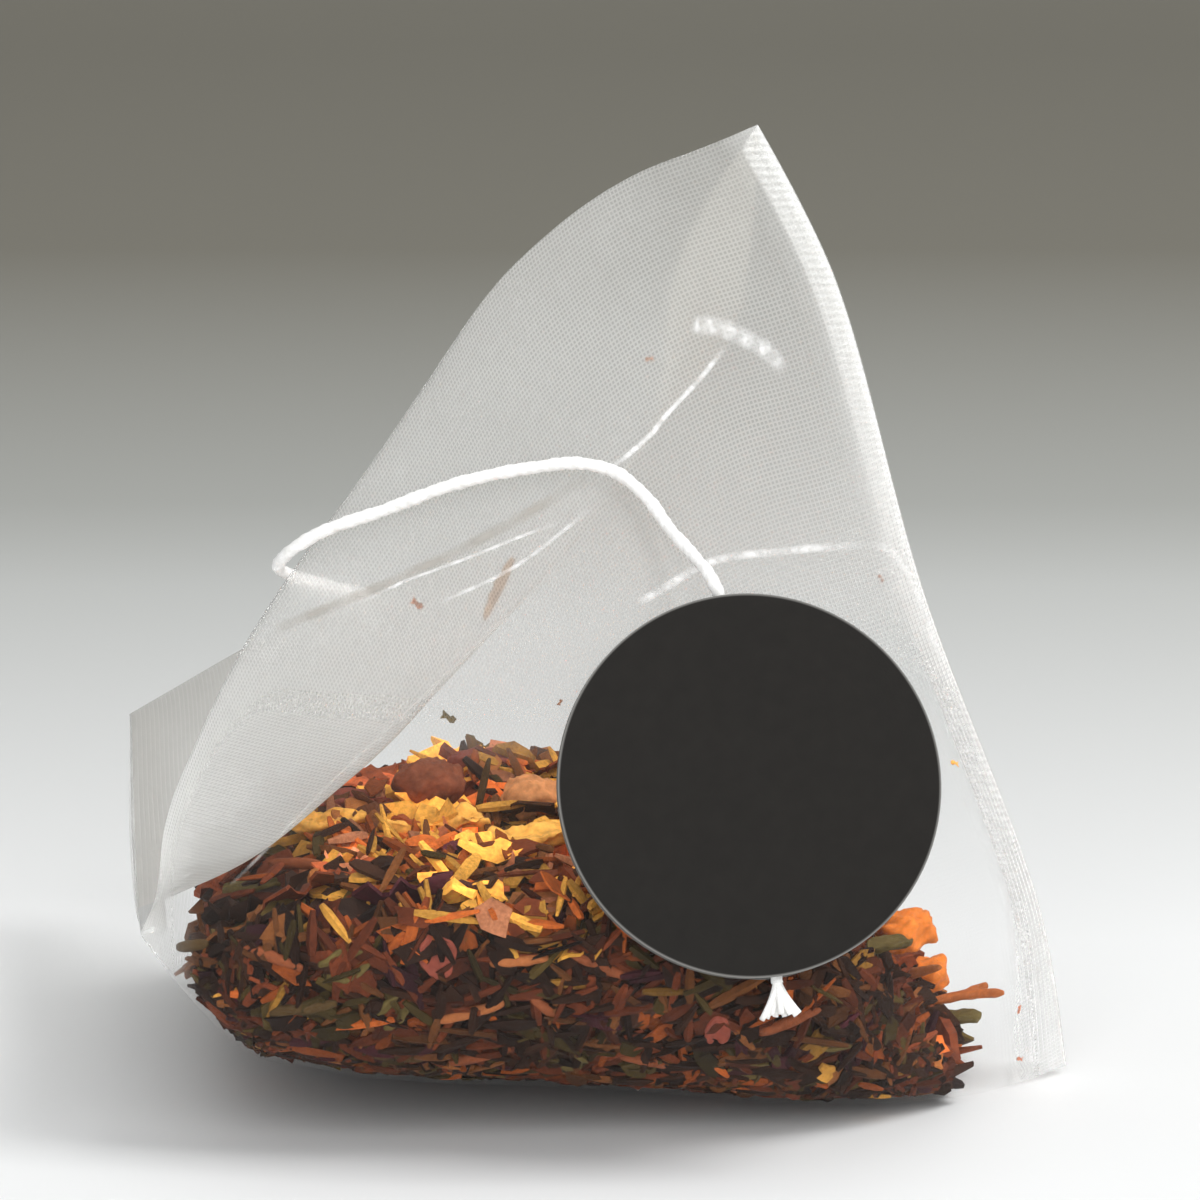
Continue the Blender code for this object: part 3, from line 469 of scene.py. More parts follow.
def tag_axes():
    """Axes of the tag: across it, up along its string, and out of its front face."""
    matrix = (Matrix.Rotation(TAG_TURN, 3, "Z") @ Matrix.Rotation(-TAG_LEAN, 3, "X")
              @ Matrix.Rotation(-TAG_ROLL, 3, "Y"))
    across, up = matrix @ Vector((1, 0, 0)), matrix @ Vector((0, 0, 1))
    return np.array(across), np.array(up), np.array(across.cross(up))


def node_middle(name):
    """Middle of a CAD node's box."""
    low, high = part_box(name)
    return 0.5 * (np.array(low) + np.array(high))


def string_path():
    """The string's centre line: its route, then straight through the tag's channel and out below."""
    _, up, out = tag_axes()
    axis = node_middle("tag_front") - out * (0.5 * TAG_PAPER + GAP + 0.5 * THREAD_DIAMETER)
    end = 0.5 + TAIL_LENGTH / TAG_DIAMETER
    through = [axis + up * TAG_DIAMETER * s for s in (0.5, 0.25, 0, -0.25, -0.5, -end)]
    route = np.vstack((STRING_ROUTE + FILM_SHIFT, through))
    along = arc_length(route)
    return smooth_curve(along, route, np.linspace(0, along[-1], 400))


def carried_frames(path):
    """Two directions across a path at each of its points, carried along it without twist."""
    tangent = unit(np.gradient(path, axis=0))
    side = np.empty_like(tangent)
    side[0] = unit(np.cross(tangent[0], (0.3, 0.2, 1.0)))
    for k in range(1, len(path)):
        side[k] = unit(side[k - 1] - tangent[k] * (side[k - 1] @ tangent[k]))
    return side, np.cross(tangent, side)


def tube(path, radius, sides):
    """Points and faces of a capped tube; radius is an array [along, around]."""
    side, lift = carried_frames(path)
    turn = np.linspace(0, 2 * math.pi, sides, endpoint=False)
    ring = np.cos(turn)[None, :, None] * side[:, None] + np.sin(turn)[None, :, None] * lift[:, None]
    points = path[:, None] + ring * radius[:, :, None]
    return points.reshape(-1, 3), [face[::-1] for face in capped_tube(len(path), sides)]


def cotton_material():
    """White cotton: fine fibres in the colour and the bump."""
    mat, nodes, shader = new_material("cotton", Roughness=0.85, Sheen_Weight=0.4, Sheen_Roughness=0.5)
    place = nodes.place()
    fibre = nodes.noise(place, 9000.0, 3.0)
    shade = nodes.remap(nodes.times(fibre, nodes.noise(place, 1500.0, 2.0)), 0.1, 0.4)
    nodes.drive(shader, Base_Color=nodes.mix(shade, (0.76, 0.75, 0.72), (0.93, 0.925, 0.91)))
    nodes.relief(shader, fibre, 0.6, 0.00006)
    return mat


def make_string():
    """Three plied strands: the tube's radius swells in three lobes that turn once every two millimetres."""
    path = string_path()
    along = arc_length(path)
    sides = 18
    turn = np.linspace(0, 2 * math.pi, sides, endpoint=False)
    lobe = np.abs(np.cos(1.5 * (turn[None, :] - along[:, None] * 2 * math.pi / 0.0021)))
    slub = 1 + 0.05 * np.sin(along * 1900) + 0.04 * np.sin(along * 4300 + 1)
    inside = along < along[-1] - 0.8 * TAIL_LENGTH
    radius = 0.5 * THREAD_DIAMETER * slub[:, None] * (0.88 + 0.18 * lobe)
    points, faces = tube(path[inside], radius[inside], sides)
    cotton = cotton_material()
    string = new_mesh("string", points, faces)
    dress(string, cotton, "cotton_thread", "thread")
    tail = make_tail(path, cotton)


def make_tail(path, cotton):
    """The frayed end: strands that leave the string at the tag's lower edge and splay in a fan."""
    across, up, out = tag_axes()
    start = path[-1] + up * 0.9 * TAIL_LENGTH
    points, faces = [], []
    rng = np.random.default_rng(5)
    for lean in (-0.56, -0.42, -0.28, -0.16, -0.04, 0.08, 0.2, 0.34, 0.48):
        t = np.linspace(0, 1, 9)[:, None]
        reach = TAIL_LENGTH * (0.92 + 0.12 * rng.random())
        line = (start - up * reach * t + across * reach * (lean * t**1.4 + 0.05 * lean)
                + out * reach * 0.22 * rng.uniform(-1, 1) * t)
        strand, rings = tube(line, 0.00022 * (1 - 0.2 * t) * np.ones((1, 8)), 8)
        faces += [[i + len(points) * len(strand) for i in ring] for ring in rings]
        points.append(strand)
    tail = new_mesh("string_tail", np.vstack(points), faces)
    dress(tail, cotton, "cotton_thread")
    return tail


def paper_material():
    """Black matt card: a faint mottle and fibre bump, and the card's paler cut edge at the rim."""
    mat, nodes, shader = new_material("black_card", Roughness=0.8, Specular_IOR_Level=0.22)
    place = nodes.place()
    card = nodes.mix(nodes.noise(place, 900.0, 4.0), (0.0078, 0.0067, 0.0056), (0.0125, 0.0110, 0.0092))
    middle = tuple(node_middle("tag_front"))
    far = nodes.add("ShaderNodeVectorMath", {0: place, 1: middle}, operation="DISTANCE").outputs["Value"]
    rim = nodes.remap(far, 0.5 * TAG_DIAMETER - 0.00016, 0.5 * TAG_DIAMETER - 0.00004)
    nodes.drive(shader, Base_Color=nodes.mix(rim, card, (0.17, 0.165, 0.155)))
    nodes.relief(shader, nodes.noise(place, 6000.0, 3.0), 0.25, 0.00004)
    return mat


def film_shift():
    """How far the guides' own box lies from the CAD pouch's."""
    raw = film_surface(np.linspace(0.001, 0.999, 60)).reshape(-1, 3)
    middle = 0.5 * (raw.min(axis=0) + raw.max(axis=0))
    shift = node_middle("mesh_bag") - middle
    shift[2] = 0.0
    return shift


FILM_SHIFT = film_shift()
make_string()
card = paper_material()
for name in ("tag_front", "tag_back"):
    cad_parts[name].data.materials.clear()
    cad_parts[name].data.materials.append(card)


# ---------------- the film

def film_material():
    """Sheer nylon: a weave of clear threads that scatter the light passing through.

    It is denser in the welds, and clears where it is pressed onto the tea and nothing scatters behind it.
    """
    mat, nodes, shader = new_material("sheer_nylon", Roughness=0.75, IOR=1.28, Transmission_Weight=0.76,
                                      Specular_IOR_Level=0.3)
    cloth = nodes.add("ShaderNodeUVMap", uv_map="cloth").outputs[0]
    weave = nodes.group(WEAVE, {"Cloth": cloth, "Pitch": WEAVE_PITCH, "Thread": 0.44})
    place = nodes.place()
    weld, pressed, tucked, melted = map(nodes.attribute, ("weld", "pressed", "tucked", "melted"))
    height = nodes.add("ShaderNodeSeparateXYZ", {0: place}).outputs[2]
    body = nodes.plus(nodes.remap(nodes.noise(place, 120.0, 2.0), 0.3, 0.7, 0.68, 0.78),
                      nodes.times(tucked, 0.36))
    body = nodes.times(body, nodes.minus(1.0, nodes.times(pressed, 0.93)))
    # Thinner towards the top: painted shade that dims the brightly lit upper film
    body = nodes.times(body, nodes.remap(height, 0.034, 0.058, 1.0, 0.86))
    between = nodes.math("MAXIMUM", nodes.remap(height, 0.032, 0.046, 0.60, 0.44),
                         nodes.times(nodes.math("MAXIMUM", tucked, melted), 0.76))
    opening = nodes.times(nodes.minus(1.0, weave.outputs["Cover"]), nodes.minus(THREAD_COVER, between))
    thread = nodes.times(nodes.minus(THREAD_COVER, opening), body)
    more = nodes.times(weld, nodes.minus(1.0, thread))
    # Greyer and warmer where tucked: a painted shade of the tucked fold
    nodes.drive(shader, Alpha=nodes.plus(thread, nodes.times(more, 0.5)),
                Base_Color=nodes.mix(tucked, (0.985, 0.985, 0.97), (0.93, 0.905, 0.85)))
    nodes.relief(shader, weave.outputs["Height"], 0.25, 0.00005)
    return mat


def painted_crease_light_material():
    """Painted light along the film's crease lines: white painted highlights broken into glinting dashes, and
    grey-brown painted shade lines, that fade out to both sides of the line.
    """
    mat, nodes, shader = new_material("painted_crease_light_nylon", Roughness=0.35)
    glint = nodes.remap(nodes.noise(nodes.place(), 2400.0, 2.0), 0.38, 0.62, 0.55, 0.0)
    tone = nodes.attribute("tone")
    dashes = nodes.minus(1.0, nodes.times(tone, glint))
    # Tone 0 paints a grey-brown shade line, tone 1 a white highlight broken into painted glints
    nodes.drive(shader, Alpha=nodes.times(nodes.attribute("strength"), dashes, clamp=True),
                Base_Color=nodes.mix(tone, (0.36, 0.33, 0.29), (0.95, 0.95, 0.94)))
    return mat


# Painted highlights and painted shade lines along the film's folds, as places on the film: (guides passed,
# share of the tube's length), then half width in millimetres, how strong they are, and their tone from 0,
# painted shade, to 1, white painted highlight
PAINTED_CREASE_LIGHT = {
    "apex_crescent_highlight": (((.94, .128), (.967, .1227), (1.021, .1058), (1.089, .0903), (1.155, .0775),
                       (1.248, .0678)), .75, .60, 1),
    "apex_ridge_highlight": (((1.083, .1083), (1.147, .1385), (1.207, .1775), (1.253, .207), (1.288, .2645)),
                   .20, .8, 1),
    "upper_glints": (((.851, .5615), (1.152, .4402), (1.332, .3181)), .14, .7, 1),
    "lower_glints": (((1.229, .4791), (1.352, .3803), (1.361, .2802)), .16, .6, 1),
    "front_glint_band": (((1.71, .2702), (1.711, .2469), (1.695, .1841), (1.752, .1122), (1.818, .0379)),
                   .32, .6, 1),
    "toe_glint_band": (((1.818, .0379), (1.931, .012), (2.3, .010)), .35, .4, 1),
    "ridge_shade": (((1.262, .2704), (1.198, .3725), (1.015, .4851), (.696, .5905), (.40, .655)),
                    .44, .62, 0),
    "valley_shade_line": (((1.465, .2969), (1.502, .4733), (1.62, .6386), (1.764, .745), (1.888, .8149)),
                    .14, .50, .3),
}
CREASE_LIFT = 0.00004
WELD_HALF_THICKNESS = 0.00011


def film_waves(surface):
    """Slight waves of the free cloth along its normal: sines of two sizes, about 30 and 10 mm."""
    x, y, z = surface[..., 0], surface[..., 1], surface[..., 2]
    wave = 0.12 * np.sin(260 * x + 170 * z + 90 * y) * np.sin(150 * z - 210 * y + 1.0)
    return (wave + 0.05 * np.sin(700 * x - 520 * z) * np.sin(430 * y + 310 * z)) * MM


def pressed_on_tea(surface):
    """Where the outer sheet lies on or near the tea: below the heap's top, short of both ends."""
    columns = np.arange(len(surface))[:, None] / SPAN_COLUMNS
    x, z = surface[..., 0], surface[..., 2]
    outer = np.clip(np.minimum(columns - 0.3, 11.7 - columns) / 0.5, 0, 1)
    limits = (PRESSED_TOP - z, x - PRESSED_LEFT, PRESSED_RIGHT - x)
    for room, fade in zip(limits, PRESSED_FADE):
        outer = outer * np.clip(room / fade, 0, 1)
    return outer


def make_film():
    """The film: the guides' surface with slight waves above the tea, and what its material reads."""
    band = SEAL_BAND / TUBE_LENGTH
    shares = np.concatenate((np.linspace(0.1 * band, band, 5), np.linspace(band, 1 - band, FILM_ROWS)[1:-1],
                             np.linspace(1 - band, 1 - 0.1 * band, 5)))
    surface = film_surface(shares) + FILM_SHIFT
    normal = surface_normals(surface)
    around, along = surface.shape[:2]
    inner = np.clip(np.minimum(shares, 1 - shares) / 0.12, 0, 1)[None, :]
    free = np.clip((surface[..., 2] - 0.018) / 0.006, 0, 1)
    surface = surface + normal * (film_waves(surface) * inner * free)[..., None]
    film = new_mesh("mesh_film", surface.reshape(-1, 3), grid_quads(around, along, wrap_rows=True))
    cloth_map(film, surface, shares)
    columns = np.arange(around)[:, None] / SPAN_COLUMNS
    everywhere = np.ones((around, along))
    value_attributes(
        film, pressed=pressed_on_tea(surface),
        weld=np.clip(1.6 - np.minimum(shares, 1 - shares) / band, 0, 1) * everywhere,
        tucked=np.clip(np.minimum(columns - 11.9, 14.15 - columns) / 0.1, 0, 1) * everywhere,
        melted=np.clip((shares - 0.85) / 0.05, 0, 1) * everywhere)
    dress(film, film_material(), "nylon_mesh", "mesh_bag")
    return film, surface, shares


def cloth_map(film, surface, shares):
    """UV map in metres along the threads: arc length around the tube, and distance along it."""
    around, along = surface.shape[:2]
    step = np.linalg.norm(np.roll(surface, -1, axis=0) - surface, axis=2)
    girth = np.vstack((np.zeros(along), np.cumsum(step, axis=0)))
    u = girth * (TUBE_AROUND / girth[-1].max())
    v = np.broadcast_to(shares * TUBE_LENGTH, (around + 1, along))
    loops = np.empty(len(film.data.loops), np.int32)
    film.data.loops.foreach_get("vertex_index", loops)
    column, row = loops // along, loops % along
    face_column = column.reshape(-1, 4)
    wraps = (face_column.max(axis=1) - face_column.min(axis=1)) > around // 2
    column = np.where(np.repeat(wraps, 4) & (column == 0), around, column)
    layer = film.data.uv_layers.new(name="cloth")
    cloth = np.stack((u[column, row], v[column, row]), axis=1)
    layer.data.foreach_set("uv", cloth.astype(np.float32).ravel())


def on_grid(grid, shares, spots):
    """Values of a film grid [around, along, :] at places (guides passed, share), between its points."""
    u = spots[:, 0] * SPAN_COLUMNS
    v = np.interp(spots[:, 1], shares, np.arange(len(shares)))
    i, j = np.floor(u).astype(int), np.minimum(np.floor(v).astype(int), grid.shape[1] - 2)
    a, b = (u - i)[:, None], (v - j)[:, None]
    here, ahead = grid[i % len(grid)], grid[(i + 1) % len(grid)]
    k = np.arange(len(spots))
    here, ahead = ((1 - b) * line[k, j] + b * line[k, j + 1] for line in (here, ahead))
    return (1 - a) * here + a * ahead


def make_painted_crease_light(surface, shares):
    """Ribbons of painted highlight and painted shade just off the film along its crease lines; their
    strength fades as 1 - s * s across the ribbon.
    """
    normal = surface_normals(surface)
    points, strength, tones, faces = [], [], [], []
    across = np.linspace(-1, 1, 7)
    for line, width, most, tone in PAINTED_CREASE_LIGHT.values():
        knots = np.linspace(0, 1, len(line))
        t = np.linspace(0, 1, 120)
        spots = smooth_curve(knots, np.array(line), t)
        middle, out = on_grid(surface, shares, spots), on_grid(normal, shares, spots)
        side = unit(np.cross(np.gradient(middle, axis=0), out))
        fade = np.minimum(1, 6 * np.minimum(t, 1 - t) + 0.05) * (0.75 + 0.25 * np.sin(40 * t + 3 * width))
        middle = middle[:, None] + out[:, None] * CREASE_LIFT
        ribbon = middle + side[:, None] * across[None, :, None] * width * MM
        faces.append(grid_quads(len(t), len(across)) + len(points) * len(t) * len(across))
        points.append(ribbon.reshape(-1, 3))
        strength.append((most * fade[:, None] * (1 - across**2)[None, :]).ravel())
        tones.append(np.full(ribbon.size // 3, float(tone)))
    crease_light_ribbons = new_mesh("film_painted_crease_light", np.vstack(points), np.vstack(faces))
    value_attributes(crease_light_ribbons, strength=np.concatenate(strength), tone=np.concatenate(tones))
    dress(crease_light_ribbons, painted_crease_light_material(), "nylon_mesh")
    return crease_light_ribbons


def weld_material(name, clearest, whitest):
    """Pressed nylon in a weld: less clear than the film, ribbed across, and whitest at its free edge."""
    mat, nodes, shader = new_material(name, Roughness=0.4)
    place = nodes.place()
    ribs = nodes.add("ShaderNodeTexWave", {"Vector": place, "Scale": 650.0, "Distortion": 0.4},
                     bands_direction="Z").outputs["Fac"]
    spots = nodes.noise(place, 2600.0, 3.0)
    cover = nodes.remap(nodes.times(ribs, spots), 0.0, 0.6, clearest, whitest)
    rim = nodes.times(nodes.attribute("rim"), 0.4)
    nodes.drive(shader, Alpha=nodes.plus(cover, rim, clamp=True),
                Base_Color=nodes.mix(spots, (0.74, 0.74, 0.72), (0.93, 0.93, 0.91)))
    nodes.relief(shader, ribs, 0.5, 0.00006)
    return mat


def make_weld(name, surface, pivot, rows, free_column, mat):
    """A welded edge: a flat strip midway between the film's paired columns, with a rounded thickness.

    Its rim attribute is 1 at the free edge, free_column, and 0 further in.
    """
    around = surface.shape[0]
    half = around // 2
    k = np.arange(half)
    pair = 0.5 * (surface[(pivot + k) % around] + surface[(pivot - k - 1) % around])[:, rows]
    across = pair.shape[1]
    normal = unit(np.cross(np.gradient(pair, axis=0), np.gradient(pair, axis=1)))
    crown = np.sqrt(np.clip(1 - (np.linspace(-1, 1, across) * 0.97) ** 4, 0.02, 1))
    profile = WELD_HALF_THICKNESS * crown[None, :, None]
    strip = np.concatenate((pair + normal * profile, (pair - normal * profile)[:, ::-1]), axis=1)
    strip[..., 2] = np.maximum(strip[..., 2], 0.00002)
    weld = new_mesh(name, strip.reshape(-1, 3), capped_tube(half, strip.shape[1]))
    end = np.clip(np.abs(np.arange(across) - free_column) - 0.5, 0, 1)
    value_attributes(weld, rim=np.tile(1 - np.concatenate((end, end[::-1])), half))
    dress(weld, mat, "nylon_mesh")
    return weld


film, film_grid, film_shares = make_film()
right_weld = make_weld("right_weld", film_grid, 6 * SPAN_COLUMNS, slice(0, 6), 0,
                       weld_material("ribbed_weld", 0.15, 0.42))
left_weld = make_weld("left_weld", film_grid, 2 * SPAN_COLUMNS, slice(-6, None), 5,
                      weld_material("plain_weld", 0.40, 0.60))
crease_light_ribbons = make_painted_crease_light(film_grid, film_shares)


# ---------------- the tea

def waves(points, size, seed, count=6):
    """Smooth noise from -1 to 1: a sum of sine waves of about one size in seeded directions."""
    rng = np.random.default_rng(seed)
    total = np.zeros(len(points))
    for _ in range(count):
        way = unit(rng.normal(size=3))
        way *= 2 * math.pi / (size * (0.6 + rng.random()))
        total += np.sin(points @ way + rng.uniform(0, 2 * math.pi))
    return total / math.sqrt(count) * 0.8


def merged_copy(node, name):
    """A copy of a CAD node with its loose triangles joined, as a new object."""
    bm = bmesh.new()
    bm.from_mesh(node.data)
    bmesh.ops.remove_doubles(bm, verts=bm.verts, dist=0.00002)
    mesh = bpy.data.meshes.new(name)
    bm.to_mesh(mesh)
    bm.free()
    return new_object(name, mesh)


def refined(obj, levels, kind="CATMULL_CLARK"):
    """Apply subdivision to an object's mesh."""
    smooth = obj.modifiers.new("smooth", "SUBSURF")
    smooth.subdivision_type = kind
    smooth.levels = smooth.render_levels = levels
    graph = bpy.context.evaluated_depsgraph_get()
    mesh = bpy.data.meshes.new_from_object(obj.evaluated_get(graph))
    obj.modifiers.clear()
    old, obj.data = obj.data, mesh
    bpy.data.meshes.remove(old)
    mesh.shade_smooth()
    return obj


def mesh_arrays(mesh):
    """Points and unit normals of a mesh."""
    points = np.empty(len(mesh.vertices) * 3, np.float32)
    normals = np.empty_like(points)
    mesh.vertices.foreach_get("co", points)
    mesh.vertices.foreach_get("normal", normals)
    return points.reshape(-1, 3).astype(float), normals.reshape(-1, 3).astype(float)


def roughen(obj, height, size, seed):
    """Move an object's points along their normals by two scales of smooth noise."""
    points, normals = mesh_arrays(obj.data)
    lift = height * (0.65 * waves(points, size, seed) + 0.35 * waves(points, 0.4 * size, seed + 1))
    obj.data.vertices.foreach_set("co", (points + normals * lift[:, None]).astype(np.float32).ravel())
    obj.data.update()


COARSE_FILM = film_grid[::4, ::2]
FILM_TREE = BVHTree.FromPolygons([Vector(p) for p in COARSE_FILM.reshape(-1, 3)],
                                 grid_quads(*COARSE_FILM.shape[:2], wrap_rows=True)[:, ::-1].tolist())


def make_core():
    """The heap's dark rough body, under the leaves."""
    core = merged_copy(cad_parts["tea_heap"], "tea_core")
    refined(core, 2, "SIMPLE")
    roughen(core, 0.00035, 0.0022, 3)
    leaf = plant_material("packed_leaf", colour=(0.045, 0.021, 0.012), contrast=2.2)
    dress(core, leaf, "loose_tea", "tea_heap")


def needle_form():
    """A leaf needle about its centre: five-sided, with tapered ends, of unit length, width and height."""
    at = np.array([-0.5, -0.25, 0.15, 0.5])
    size = np.array([0.30, 0.50, 0.46, 0.22])
    turn = np.arange(5) * 2 * math.pi / 5
    points = np.stack([np.column_stack((np.full(5, s), r * np.cos(turn), r * np.sin(turn)))
                       for s, r in zip(at, size)]).reshape(-1, 3)
    faces = grid_quads(4, 5, wrap_columns=True)[:, ::-1].tolist() + [[4, 3, 2, 1, 0], [15, 16, 17, 18, 19]]
    return points, faces


def plate_form(x, y, z, half):
    """Points and closed faces of a thin plate of a grid's shape, with half its thickness."""
    rows, columns = x.shape
    quads, count = grid_quads(rows, columns), rows * columns
    rim = ([k * columns for k in range(rows)] + [(rows - 1) * columns + k for k in range(1, columns)]
           + [k * columns - 1 for k in range(rows - 1, 0, -1)] + list(range(columns - 2, 0, -1)))
    faces = quads.tolist() + (quads[:, ::-1] + count).tolist()
    faces += [[b, a, a + count, b + count] for a, b in zip(rim, rim[1:] + rim[:1])]
    return np.vstack([np.stack((x, y, z + lift), axis=-1).reshape(-1, 3) for lift in (half, -half)]), faces


def flake_form(seed):
    """A curled leaf flake about its centre: a wavy three by four plate with an uneven outline."""
    rng = np.random.default_rng(seed)
    s, t = np.meshgrid(np.linspace(-0.5, 0.5, 4), np.linspace(-0.5, 0.5, 3), indexing="ij")
    edge = 1 - 0.8 * np.abs(s) ** 1.5 + 0.22 * rng.standard_normal((4, 1))
    x = s + 0.07 * rng.standard_normal(s.shape)
    z = t * t + 0.25 * np.sin(4 * s + seed) + 0.08 * rng.standard_normal(s.shape)
    return plate_form(x, t * edge, z, 0.16)


def petal_form(seed):
    """A crumpled dried petal about its centre: a thin plate folded by sine waves, with a ragged outline."""
    rng = np.random.default_rng(seed)
    rows, columns = 9, 7
    s, t = np.meshgrid(np.linspace(-0.5, 0.5, rows), np.linspace(-0.5, 0.5, columns), indexing="ij")
    edge = 1 - 0.6 * np.abs(2 * s) ** 3 + 0.16 * rng.standard_normal((rows, 1))
    x = s * (1 + 0.12 * rng.standard_normal((1, columns)))
    z = 0.28 * np.sin(9 * s + 3 * t + seed) + 0.22 * np.sin(11 * t - 4 * s) + 0.9 * t * t
    return plate_form(x, t * edge, z + 0.10 * rng.standard_normal(s.shape), 0.08)


def scattered(name, form, places, frames, sizes, colours):
    """One mesh of many copies of a form, each turned, sized and placed, with its own colour."""
    points, faces = form
    made = np.einsum("nij,nkj->nki", frames, points[None] * sizes[:, None, :]) + places[:, None, :]
    count = len(points)
    polygons = [[k * count + i for i in face] for k in range(len(places)) for face in faces]
    obj = new_mesh(name, made.reshape(-1, 3), polygons)
    obj.data.set_sharp_from_angle(angle=math.radians(45))
    colour_attribute(obj, "leaf_colour", np.repeat(colours, count, axis=0))
    return obj


def heap_samples(count, weight, seed):
    """Points spread over the heap's surface and its outward normals; weight gives each triangle's share."""
    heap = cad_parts["tea_heap"].data
    points, _ = mesh_arrays(heap)
    heap.calc_loop_triangles()
    tri = np.array([t.vertices[:] for t in heap.loop_triangles])
    a, b, c = (points[tri[:, k]] for k in range(3))
    normal = np.cross(b - a, c - a)
    area = np.linalg.norm(normal, axis=1)
    normal /= area[:, None] + 1e-15
    share = area * weight((a + b + c) / 3, normal)
    rng = np.random.default_rng(seed)
    pick = rng.choice(len(tri), count, p=share / share.sum())
    u, v = rng.random((2, count, 1))
    u, v = np.where(u + v > 1, 1 - u, u), np.where(u + v > 1, 1 - v, v)
    return a[pick] + u * (b[pick] - a[pick]) + v * (c[pick] - a[pick]), normal[pick], rng


def turned_frames(normal, rng, tilt):
    """Frames whose third axis is near a normal, turned at random about it and tilted by up to an angle."""
    count = len(normal)
    up = unit(normal + tilt * rng.normal(size=(count, 3)))
    side = unit(np.cross(up, rng.normal(size=(count, 3))))
    return np.stack((side, np.cross(up, side), up), axis=2)


def past_film(point):
    """How far a point lies outside the film; negative inside it."""
    hit, normal, _, _ = FILM_TREE.find_nearest(Vector(point))
    return (Vector(point) - hit).dot(normal)


def past_film_at(places, frames, sizes):
    """For each leaf, how far its ends and corners reach past the film."""
    tips = np.array([(s, t, u) for s in (-0.5, 0.5) for t in (-0.4, 0.4) for u in (-0.4, 0.4)])
    corners = places[:, None] + np.einsum("nij,nkj->nki", frames, tips[None] * sizes[:, None, :])
    return np.array([max(past_film(corner) for corner in leaf) for leaf in corners])


def tea_colours(rng, height, lightness_and_painted_shade):
    """A colour for each leaf, drawn from TEA_COLOURS by its height in the heap, varied in lightness, and
    lighter higher up as painted light on top and painted shade low down.
    """
    base, low, high = (np.array(column) for column in zip(*TEA_COLOURS.values()))
    rise = np.clip((height - LOW_LEAVES_TOP) / (HIGH_LEAVES_BASE - LOW_LEAVES_TOP), 0, 1)[:, None]
    share = np.cumsum((1 - rise) * low / low.sum() + rise * high / high.sum(), axis=1)
    pick = np.minimum((rng.random((len(height), 1)) > share).sum(axis=1), len(base) - 1)
    varied = np.exp(0.35 * rng.standard_normal((len(height), 1)))
    # Lighter higher up the heap: painted light on the top, painted shade low down; the layer's lightness
    # also paints the heap's front darker
    return base[pick] * lightness_and_painted_shade * (0.85 + 0.5 * rise) * varied


def leaf_layer(name, form, count, weight, seed, size, lift, tilt, lightness_and_painted_shade, finish):
    """Leaves over one side of the heap, lifted off it by up to a distance and kept inside the film."""
    places, normal, rng = heap_samples(count, weight, seed)
    sizes = np.array(size) * MM * np.exp(0.28 * rng.standard_normal((count, 3)))
    sizes[:, 0] = np.minimum(sizes[:, 0], 1.8 * size[0] * MM)
    places = places + normal * rng.uniform(*lift, count)[:, None] * MM
    frames = turned_frames(normal, rng, tilt)
    for _ in range(3):
        beyond = np.maximum(past_film_at(places, frames, sizes) + FILM_CLEARANCE, 0)
        places = places - normal * beyond[:, None]
    fits = beyond < 0.0001
    colours = tea_colours(rng, places[:, 2], lightness_and_painted_shade)
    leaves = scattered(name, form, places[fits], frames[fits], sizes[fits], colours[fits])
    dress(leaves, finish, "loose_tea")


def facing_front(middle, normal):
    """Weight of the heap's front side."""
    return np.clip(-normal[:, 1] * 1.4 - 0.2, 0, 1)


def facing_up(middle, normal):
    """Weight of the heap's top."""
    return np.clip(normal[:, 2] * 2 - 0.8, 0, 1)


def facing_else(middle, normal):
    """Weight of the heap's back, left end and underside."""
    rest = np.clip(1 - facing_front(middle, normal) - facing_up(middle, normal), 0, 1)
    return rest * (middle[:, 0] < TOE_START)


def at_toe(middle, normal):
    """Weight of the heap's loose end towards the right toe."""
    return (middle[:, 0] > TOE_START - 0.001) * (middle[:, 2] < 0.010) * (0.2 + np.clip(normal[:, 0], 0, 1))


make_core()
LEAF = plant_material("dry_leaf", grain=4200.0, contrast=2.0, bump=0.8)
PEEL = plant_material("dry_peel", grain=2600.0, contrast=1.9, rough=0.6, bump=0.9)
# Layers of leaves: form, how many, where, seed, size and lift in millimetres, tilt, lightness (partly the
# pieces' tint, partly painted shade: dark on the heap's front, light on top), finish
LEAF_LAYERS = {
    "front_needles_deep": (needle_form(), 1100, facing_front, 11, (3.4, .75, .6), (.1, .9), .10, .42, LEAF),
    "front_needles": (needle_form(), 1700, facing_front, 12, (2.9, .62, .5), (.9, 2.2), .08, .58, LEAF),
    "front_flakes": (flake_form(2), 500, facing_front, 13, (2.2, 1.3, .6), (.5, 2.0), .10, .52, LEAF),
    "side_needles": (needle_form(), 1700, facing_else, 14, (3.4, .8, .6), (-.2, .3), .05, .7, LEAF),
    "side_flakes": (flake_form(4), 500, facing_else, 15, (2.6, 1.6, .6), (-.2, .3), .05, .7, LEAF),
    "toe_flakes": (flake_form(5), 70, at_toe, 19, (2.4, 1.8, .7), (-.1, .5), .45, 1.7, PEEL),
    "toe_needles": (needle_form(), 90, at_toe, 20, (2.6, .7, .6), (-.2, .3), .45, 1.2, LEAF),
    "top_needles": (needle_form(), 380, facing_up, 16, (3.2, .75, .6), (-.2, .4), .24, .9, LEAF),
    "top_flakes": (flake_form(7), 260, facing_up, 17, (3.6, 2.4, 1.1), (-.3, .2), .30, .9, PEEL),
    "top_petals": (petal_form(6), 120, facing_up, 21, (5.4, 4.4, 1.4), (.1, .5), .18, 1.3, PEEL),
    "top_scraps": (flake_form(9), 220, facing_up, 18, (2.8, 1.9, .9), (-.2, .4), .30, 1.0, PEEL),
}
